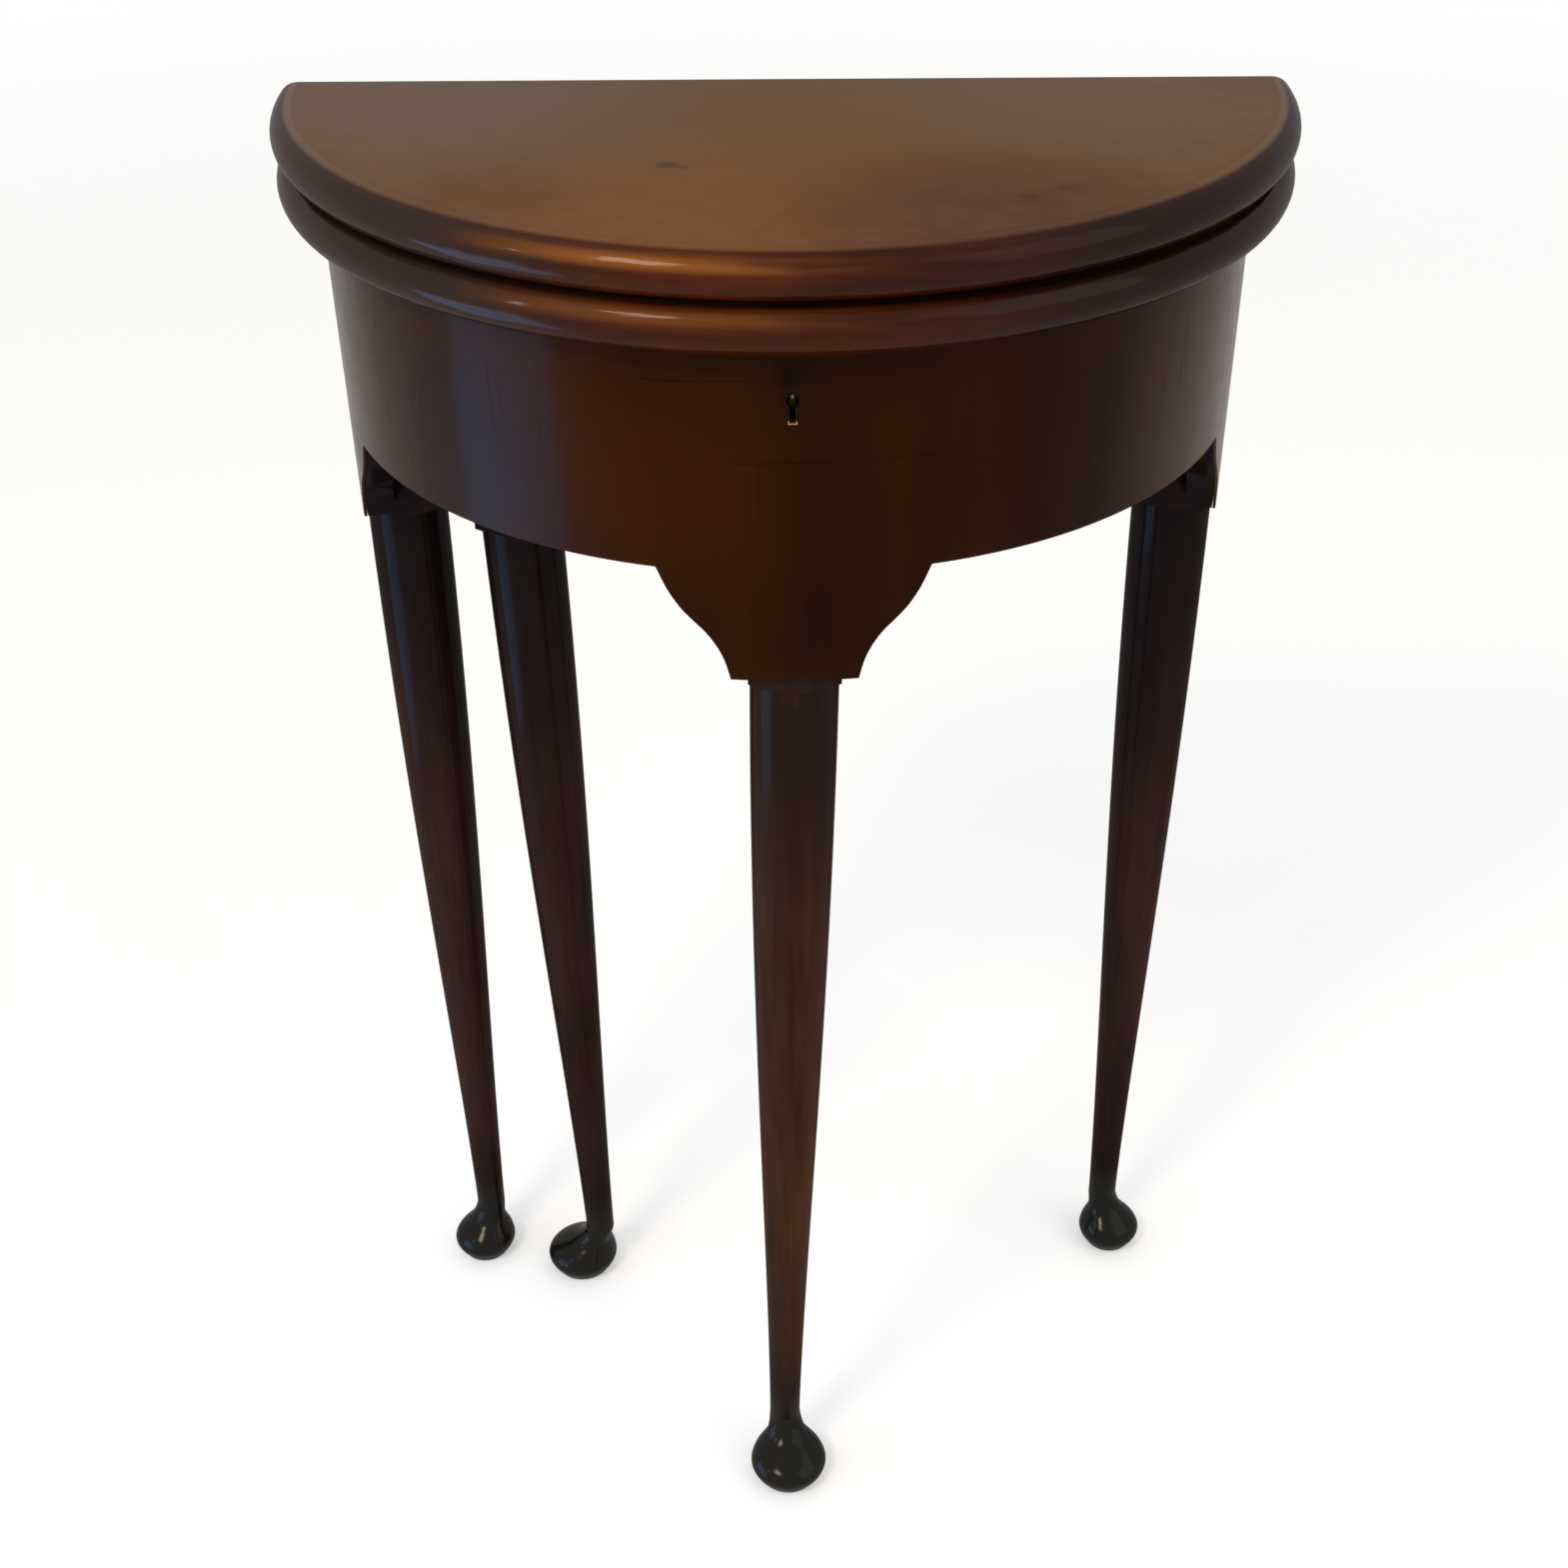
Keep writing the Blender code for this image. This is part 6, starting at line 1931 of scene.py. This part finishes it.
@dataclass
class Hinges:
    """The brass butt hinges between the leaves and under the lower leaf, with their screws."""

    bench: Bench
    thickness: float = 0.0014
    recess: float = 0.0001
    clearance: float = 0.0002
    frame_height: float = 0.021
    sides: int = 40

    def plate(
        self, butt: Butt, side: int, heights: tuple[float, float], own: tuple[int, ...], screw_z: float
    ) -> Blank:
        """Return one plate with its share of the barrel and its countersunk holes.

        Args:
            butt: The hinge.
            side: -1 for the left one, 1 for the right one.
            heights: Lowest and highest edge of the plate.
            own: Which of the barrel's three spans belong to it.
            screw_z: Height of its screws.

        Returns:
            The blank.
        """
        start, end = side * butt.middle_x - butt.width / 2, side * butt.middle_x + butt.width / 2
        y, z = butt.axis
        plate = Blank(brick((start, -self.thickness - self.recess, heights[0]), (end, -self.recess, heights[1])))
        plate.join(rod((start, y, z), RIGHT, butt.width, butt.barrel, self.sides))
        third = butt.width / 3
        for index in range(3):
            if index in own:
                continue
            low = start + index * third - (OVERRUN if index == 0 else PLAN.seat_gap / 2)
            high = start + (index + 1) * third + (OVERRUN if index == 2 else PLAN.seat_gap / 2)
            plate.cut(rod((low, y, z), RIGHT, high - low, butt.barrel + PLAN.seat_gap, self.sides))
        reach = butt.width + 2 * OVERRUN
        plate.cut(rod((start - OVERRUN, y, z), RIGHT, reach, butt.pin_radius + self.clearance, self.sides))
        plate.cut(*SMALL_SCREW.holes(self.places(butt, side, screw_z), BACK))
        return plate.break_edges(METAL_ARRIS)

    def places(self, butt: Butt, side: int, z: float) -> list[Point]:
        """Return the places of a plate's two screws."""
        return [(side * butt.middle_x + k * butt.width / 3, -self.recess, z) for k in (-1, 1)]

    def build(self) -> None:
        """Make every plate, pin and screw."""
        fold, knuckle = LEAF_BUTT.axis[1], LID_BUTT.axis[1]
        leaf_step = (LEAF_BUTT.plate_height + LEAF_BUTT.barrel) / 2
        rows = (
            (LEAF_BUTT, "leaf_hinge_upper", Body.FOLDING_LEAF, (1,),
             (fold + PLAN.run_gap / 2, fold + LEAF_BUTT.plate_height), fold + leaf_step),
            (LEAF_BUTT, "leaf_hinge_lower", Body.LID, (0, 2),
             (fold - LEAF_BUTT.plate_height, fold - PLAN.run_gap / 2), fold - leaf_step),
            (LID_BUTT, "lid_hinge_frame", Body.FRAME, (0, 2),
             (knuckle - self.frame_height, knuckle - PLAN.run_gap / 2),
             knuckle - (self.frame_height + LID_BUTT.barrel) / 2),
            (LID_BUTT, "lid_hinge_lid", Body.LID, (1,),
             (knuckle + PLAN.run_gap / 2, PLAN.lower_bottom + LID_BUTT.plate_height),
             PLAN.lower_bottom + LID_BUTT.plate_height / 2),
        )
        turns = iter((12, 74, 131, 48, 95, 27, 163, 5, 88, 140, 61, 19, 112, 36, 150, 82))
        for butt, name, body, own, heights, screw_z in rows:
            for number, side in enumerate((-1, 1), 1):
                plate = self.plate(butt, side, heights, own, screw_z)
                self.bench.finish(plate, f"{name}_plate_{number}", BRASS, body)
                places = self.places(butt, side, screw_z)
                self.bench.drive(SMALL_SCREW, f"{name}_screw", places, turns, BRASS, body, first=2 * number - 1)
        for butt, name, body in ((LEAF_BUTT, "leaf_hinge_pin", Body.LID), (LID_BUTT, "lid_hinge_pin", Body.FRAME)):
            for number, side in enumerate((-1, 1), 1):
                start = (side * butt.middle_x - butt.width / 2, *butt.axis)
                made = pin(start, RIGHT, butt.width, butt.pin_radius)
                self.bench.finish(Blank(made), f"{name}_{number}", BRASS, body)


@dataclass
class Lock:
    """The brass box lock in the front leg's head, with its bolt, tumbler, pin and link plate."""

    bench: Bench
    wall: float = 0.0012
    half_width: float = 0.0142
    plate_half_width: float = 0.019
    height: float = 0.037
    depth: float = 0.0106
    pin_radius: float = 0.0011
    pin_length: float = 0.017
    lug_x: float = -0.0088
    lug_half_thickness: float = 0.0015
    lug_half_width: float = 0.0036
    lug_length: float = 0.0115
    lug_wall: float = 0.0014
    link_half_length: float = 0.012
    link_half_width: float = 0.0046
    link_thickness: float = 0.0012
    bolt_half_thickness: float = 0.0017
    bolt_half_height: float = 0.0018
    bolt_length: float = 0.0192
    tail_width: float = 0.0075
    tail_setback: float = 0.0055
    talon_radius: float = 0.0022
    tumbler_x: float = 0.0095
    tumbler_thickness: float = 0.0014
    stud_radius: float = 0.0012
    hub_radius: float = 0.0026
    arm_length: float = 0.0165
    arm_half: float = 0.0015
    clearance: float = 0.0002

    @property
    def front(self) -> float:
        """Place of the case's front."""
        return PLAN.head_back - self.depth

    @property
    def middle(self) -> float:
        """Place of the bolt's middle."""
        return (self.front + PLAN.head_back - self.wall) / 2

    @property
    def eye_bottom(self) -> float:
        """Lower edge of the lug's eye."""
        return PLAN.lower_bottom - self.lug_length + self.lug_wall

    @property
    def bolt_z(self) -> float:
        """Height of the bolt's middle."""
        return self.eye_bottom + PLAN.run_gap + self.bolt_half_height

    @property
    def bolt_nose(self) -> float:
        """Place of the bolt's tip."""
        return self.lug_x + self.lug_half_thickness + PLAN.run_gap

    @property
    def tumbler_z(self) -> float:
        """Height of the tumbler's axis."""
        return PLAN.key_z + self.pin_radius + PLAN.run_gap + self.arm_half

    @property
    def link_places(self) -> list[Point]:
        """Places of the link plate's screws."""
        reach = (self.link_half_length + self.lug_half_thickness) / 2
        return [(self.lug_x + side * reach, self.middle, PLAN.lower_bottom) for side in (-1, 1)]

    def link_recess(self) -> BMesh:
        """Return the cutter of the link plate in the lower leaf's underside.

        Returns:
            The cutter.
        """
        gap = PLAN.seat_gap
        half_x, half_y = self.link_half_length + gap, self.link_half_width + gap
        return brick(
            (self.lug_x - half_x, self.middle - half_y, PLAN.lower_bottom - OVERRUN),
            (self.lug_x + half_x, self.middle + half_y, PLAN.lower_bottom + self.link_thickness + gap),
        )

    def case(self) -> Blank:
        """Return the case with its plate, the lug's slot, the bolt's ledge and the tumbler's stud.

        Returns:
            The blank.
        """
        half, wall, top = self.half_width, self.wall, PLAN.frame_top
        low = top - self.height
        inner = PLAN.head_back - wall
        case = Blank(brick((-half, self.front, low), (half, PLAN.head_back - wall / 2, top)))
        room = half - wall
        case.cut(brick((-room, self.front - OVERRUN, low + wall), (room, inner, top - wall)))
        wide = self.plate_half_width
        ledge_top = self.bolt_z - self.bolt_half_height - PLAN.seat_gap
        tail_end = self.bolt_nose + self.tail_setback + self.tail_width
        case.join(
            brick((-wide, inner, low - wall), (wide, PLAN.head_back, top)),
            brick(
                (tail_end + PLAN.run_gap, self.middle - self.bolt_half_thickness, ledge_top - wall),
                (half - wall / 2, PLAN.head_back - wall / 2, ledge_top),
            ),
            rod((self.tumbler_x, self.front, self.tumbler_z), BACK, self.depth - wall / 2, self.stud_radius, 32),
        )
        slot_x = self.lug_half_thickness + PLAN.run_gap
        slot_back = self.middle + self.lug_half_width + PLAN.run_gap
        rivet = self.pin_radius + PLAN.seat_gap
        case.cut(
            brick(
                (self.lug_x - slot_x, self.front - OVERRUN, top - wall - PLAN.seat_gap),
                (self.lug_x + slot_x, slot_back, top + OVERRUN),
            ),
            rod((0, inner - OVERRUN / 2, PLAN.key_z), BACK, OVERRUN, rivet, 32),
            *LOCK_SCREW.holes(self.screw_places, BACK),
        )
        return case.break_edges(METAL_ARRIS)

    @property
    def screw_places(self) -> list[Point]:
        """Places of the lock's screws."""
        x = (self.half_width + self.plate_half_width) / 2
        return [(side * x, PLAN.head_back, PLAN.frame_top - self.height / 2) for side in (-1, 1)]

    def bolt(self) -> Blank:
        """Return the bolt with its tail and the talon that the key drives.

        Returns:
            The blank.
        """
        front, back = self.middle - self.bolt_half_thickness, self.middle + self.bolt_half_thickness
        nose, z, half = self.bolt_nose, self.bolt_z, self.bolt_half_height
        tail_start = nose + self.tail_setback
        tail_bottom = PLAN.key_z + self.pin_radius + PLAN.run_gap
        bolt = Blank(brick((nose, front, z - half), (nose + self.bolt_length, back, z + half)))
        bolt.join(brick((tail_start, front, tail_bottom), (tail_start + self.tail_width, back, z)))
        talon = (tail_start + self.tail_width / 2, front - OVERRUN, tail_bottom)
        bolt.cut(rod(talon, BACK, back - front + 2 * OVERRUN, self.talon_radius, 40))
        return bolt.break_edges(BOLT_ARRIS)

    def tumbler(self) -> Blank:
        """Return the lever that the key lifts.

        Returns:
            The blank.
        """
        back = self.middle - self.bolt_half_thickness - PLAN.seat_gap
        front = back - self.tumbler_thickness
        x, z, half = self.tumbler_x, self.tumbler_z, self.arm_half
        lever = Blank(rod((x, front, z), BACK, self.tumbler_thickness, self.hub_radius, 40))
        lever.join(brick((x - self.arm_length, front, z - half), (x, back, z + half)))
        depth = self.tumbler_thickness + 2 * OVERRUN
        lever.cut(rod((x, front - OVERRUN, z), BACK, depth, self.stud_radius + self.clearance, 32))
        return lever.break_edges(METAL_ARRIS)

    def link_plate(self) -> Blank:
        """Return the link plate with the eyed lug that drops into the lock.

        Returns:
            The blank.
        """
        bottom, thick, x, y = PLAN.lower_bottom, self.lug_half_thickness, self.lug_x, self.middle
        plate = Blank(brick(
            (x - self.link_half_length, y - self.link_half_width, bottom),
            (x + self.link_half_length, y + self.link_half_width, bottom + self.link_thickness),
        ))
        plate.join(brick(
            (x - thick, y - self.lug_half_width, bottom - self.lug_length),
            (x + thick, y + self.lug_half_width, bottom + self.link_thickness / 2),
        ))
        eye = self.bolt_half_thickness + PLAN.run_gap
        eye_top = self.bolt_z + self.bolt_half_height + PLAN.run_gap
        plate.cut(
            brick((x - thick - OVERRUN, y - eye, self.eye_bottom), (x + thick + OVERRUN, y + eye, eye_top)),
            *SMALL_SCREW.holes(self.link_places, DOWN),
        )
        return plate.break_edges(METAL_ARRIS)

    def build(self) -> None:
        """Make the lock and its link plate."""
        self.bench.finish(self.case(), "lock_case", BRASS, Body.FRAME)
        self.bench.drive(LOCK_SCREW, "lock_screw", self.screw_places, (33, 118), BRASS, Body.FRAME)
        made = pin((0, PLAN.head_back - self.pin_length, PLAN.key_z), BACK, self.pin_length, self.pin_radius)
        self.bench.finish(Blank(made), "lock_key_pin", IRON, Body.FRAME)
        self.bench.finish(self.bolt(), "lock_bolt", IRON, Body.BOLT)
        self.bench.finish(self.tumbler(), "lock_tumbler", IRON, Body.TUMBLER)
        self.bench.finish(self.link_plate(), "link_plate", BRASS, Body.LID)
        self.bench.drive(SMALL_SCREW, "link_plate_screw", self.link_places, (52, 8), BRASS, Body.LID, DOWN)


# Studio


@dataclass(frozen=True)
class Softbox:
    """An area light that faces a point."""

    name: str
    place: Point
    target: Point
    size: tuple[float, float]
    power: float
    colour: Colour = (1, 1, 1)
    spread: float = 180

    def build(self) -> None:
        """Hang the light."""
        light = bpy.data.lights.new(self.name, "AREA")
        light.shape = "RECTANGLE"
        light.size, light.size_y = self.size
        light.energy = self.power
        light.color = self.colour
        light.spread = math.radians(self.spread)
        lamp = bpy.data.objects.new(self.name, light)
        bpy.context.scene.collection.objects.link(lamp)
        lamp.location = self.place
        lamp.rotation_euler = (Vector(self.target) - Vector(self.place)).to_track_quat("-Z", "Y").to_euler()
        lamp.visible_camera = False


@dataclass
class Studio:
    """Floor, world, soft lights and the camera at the photograph's angle."""

    floor_radius: float = 60.0
    floor_colour: Colour = (0.86, 0.86, 0.85)
    floor_glow: tuple[float, float] = (0.3, 0.5)
    glow_reach: tuple[float, float] = (1.5, 6)
    world_level: float = 0.68
    camera_place: Point = (-0.0053, -0.9188, 1.0288)
    pitch: float = 0.6313
    yaw: float = -0.0212
    lens: float = 48.51
    sensor: float = 36.0
    shift: tuple[float, float] = (-0.0241, 0.067)
    clip: tuple[float, float] = (0.01, 60)
    lights: tuple[Softbox, ...] = (
        Softbox("key", (-1.05, -1.36, 2.26), (-0.06, -0.11, 0.74), (0.6, 0.45), 19, (1, 0.86, 0.66)),
        Softbox("fill", (2.2, -1.2, 2.2), (0, 0, 0.4), (2.2, 2.2), 14, (1, 0.97, 0.93)),
        Softbox("window", (-0.78, -0.25, 0.24), (0, -0.1, 0.5), (0.43, 0.46), 1.7, (0.22, 0.5, 1), 120),
        Softbox("pane", (-1.62, -0.87, 1.45), (0, 0, 0.7), (0.08, 0.14), 1.0, (0.8, 0.9, 1)),
    )

    def shown(self, tree: bpy.types.NodeTree) -> NodeSocket:
        """Return 1 where the camera, a reflection or a transmitted ray sees the surface, and 0 elsewhere.

        Args:
            tree: The node tree of the surface or the world.

        Returns:
            The output socket.
        """
        path = tree.nodes.new("ShaderNodeLightPath")
        found = path.outputs["Is Camera Ray"]
        for name in ("Is Glossy Ray", "Is Transmission Ray"):
            either = tree.nodes.new("ShaderNodeMath")
            either.operation = "MAXIMUM"
            tree.links.new(found, either.inputs[0])
            tree.links.new(path.outputs[name], either.inputs[1])
            found = either.outputs[0]
        return found

    def light_world(self) -> None:
        """Light the world evenly, and show white to the camera and in reflections."""
        world = bpy.data.worlds.new("studio")
        bpy.context.scene.world = world
        world.use_nodes = True
        tree = world.node_tree
        background = tree.nodes["Background"]
        background.inputs["Color"].default_value = (1, 1, 1, 1)
        level = tree.nodes.new("ShaderNodeMapRange")
        tree.links.new(self.shown(tree), level.inputs["Value"])
        level.inputs["To Min"].default_value = self.world_level
        level.inputs["To Max"].default_value = 1.0
        tree.links.new(level.outputs["Result"], background.inputs["Strength"])

    def lay_floor(self) -> None:
        """Lay a plain pale floor, which shows a little whiter than it is lit, most of all far away."""
        bm = bmesh.new()
        bmesh.ops.create_circle(bm, cap_ends=True, radius=self.floor_radius, segments=96)
        mesh = bpy.data.meshes.new("floor")
        bm.to_mesh(mesh)
        bm.free()
        floor = bpy.data.objects.new("floor", mesh)
        bpy.context.scene.collection.objects.link(floor)
        board = NodeBoard("floor")
        board.set(Base_Color=self.floor_colour, Roughness=0.9, Specular_IOR_Level=0.0, Emission_Color=(1, 1, 1))
        away = board.vector("LENGTH", board.place(), (0, 0, 0))
        glow = board.times(self.shown(board.tree), board.span(away, *self.glow_reach, *self.floor_glow))
        board.feed(board.shader.inputs["Emission Strength"], glow)
        mesh.materials.append(board.material)

    def set_camera(self) -> None:
        """Set the camera where the photograph was taken."""
        data = bpy.data.cameras.new("photo")
        data.lens, data.sensor_width = self.lens, self.sensor
        data.shift_x, data.shift_y = self.shift
        data.clip_start, data.clip_end = self.clip
        camera = bpy.data.objects.new("photo", data)
        bpy.context.scene.collection.objects.link(camera)
        camera.location = self.camera_place
        flat = math.cos(self.pitch)
        ahead = Vector((-math.sin(self.yaw) * flat, math.cos(self.yaw) * flat, -math.sin(self.pitch)))
        camera.rotation_euler = ahead.to_track_quat("-Z", "Y").to_euler()
        bpy.context.scene.camera = camera

    def build(self) -> None:
        """Set up the studio."""
        bpy.context.scene.view_settings.view_transform = "Standard"
        self.light_world()
        self.lay_floor()
        self.set_camera()
        for light in self.lights:
            light.build()


def main() -> None:
    """Build the table's looks."""
    logging.basicConfig(level=logging.INFO, format="%(message)s")
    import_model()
    bench = Bench(Rack())
    Leaves(bench).build()
    Frieze(bench).build()
    Legs(bench).build()
    Carcass(bench).build()
    Gate(bench, Legs(bench).gate_x).build()
    Hinges(bench).build()
    Lock(bench).build()
    Studio().build()
    LOG.info("%d pieces made", bench.count)


if __name__ == "__main__":
    main()
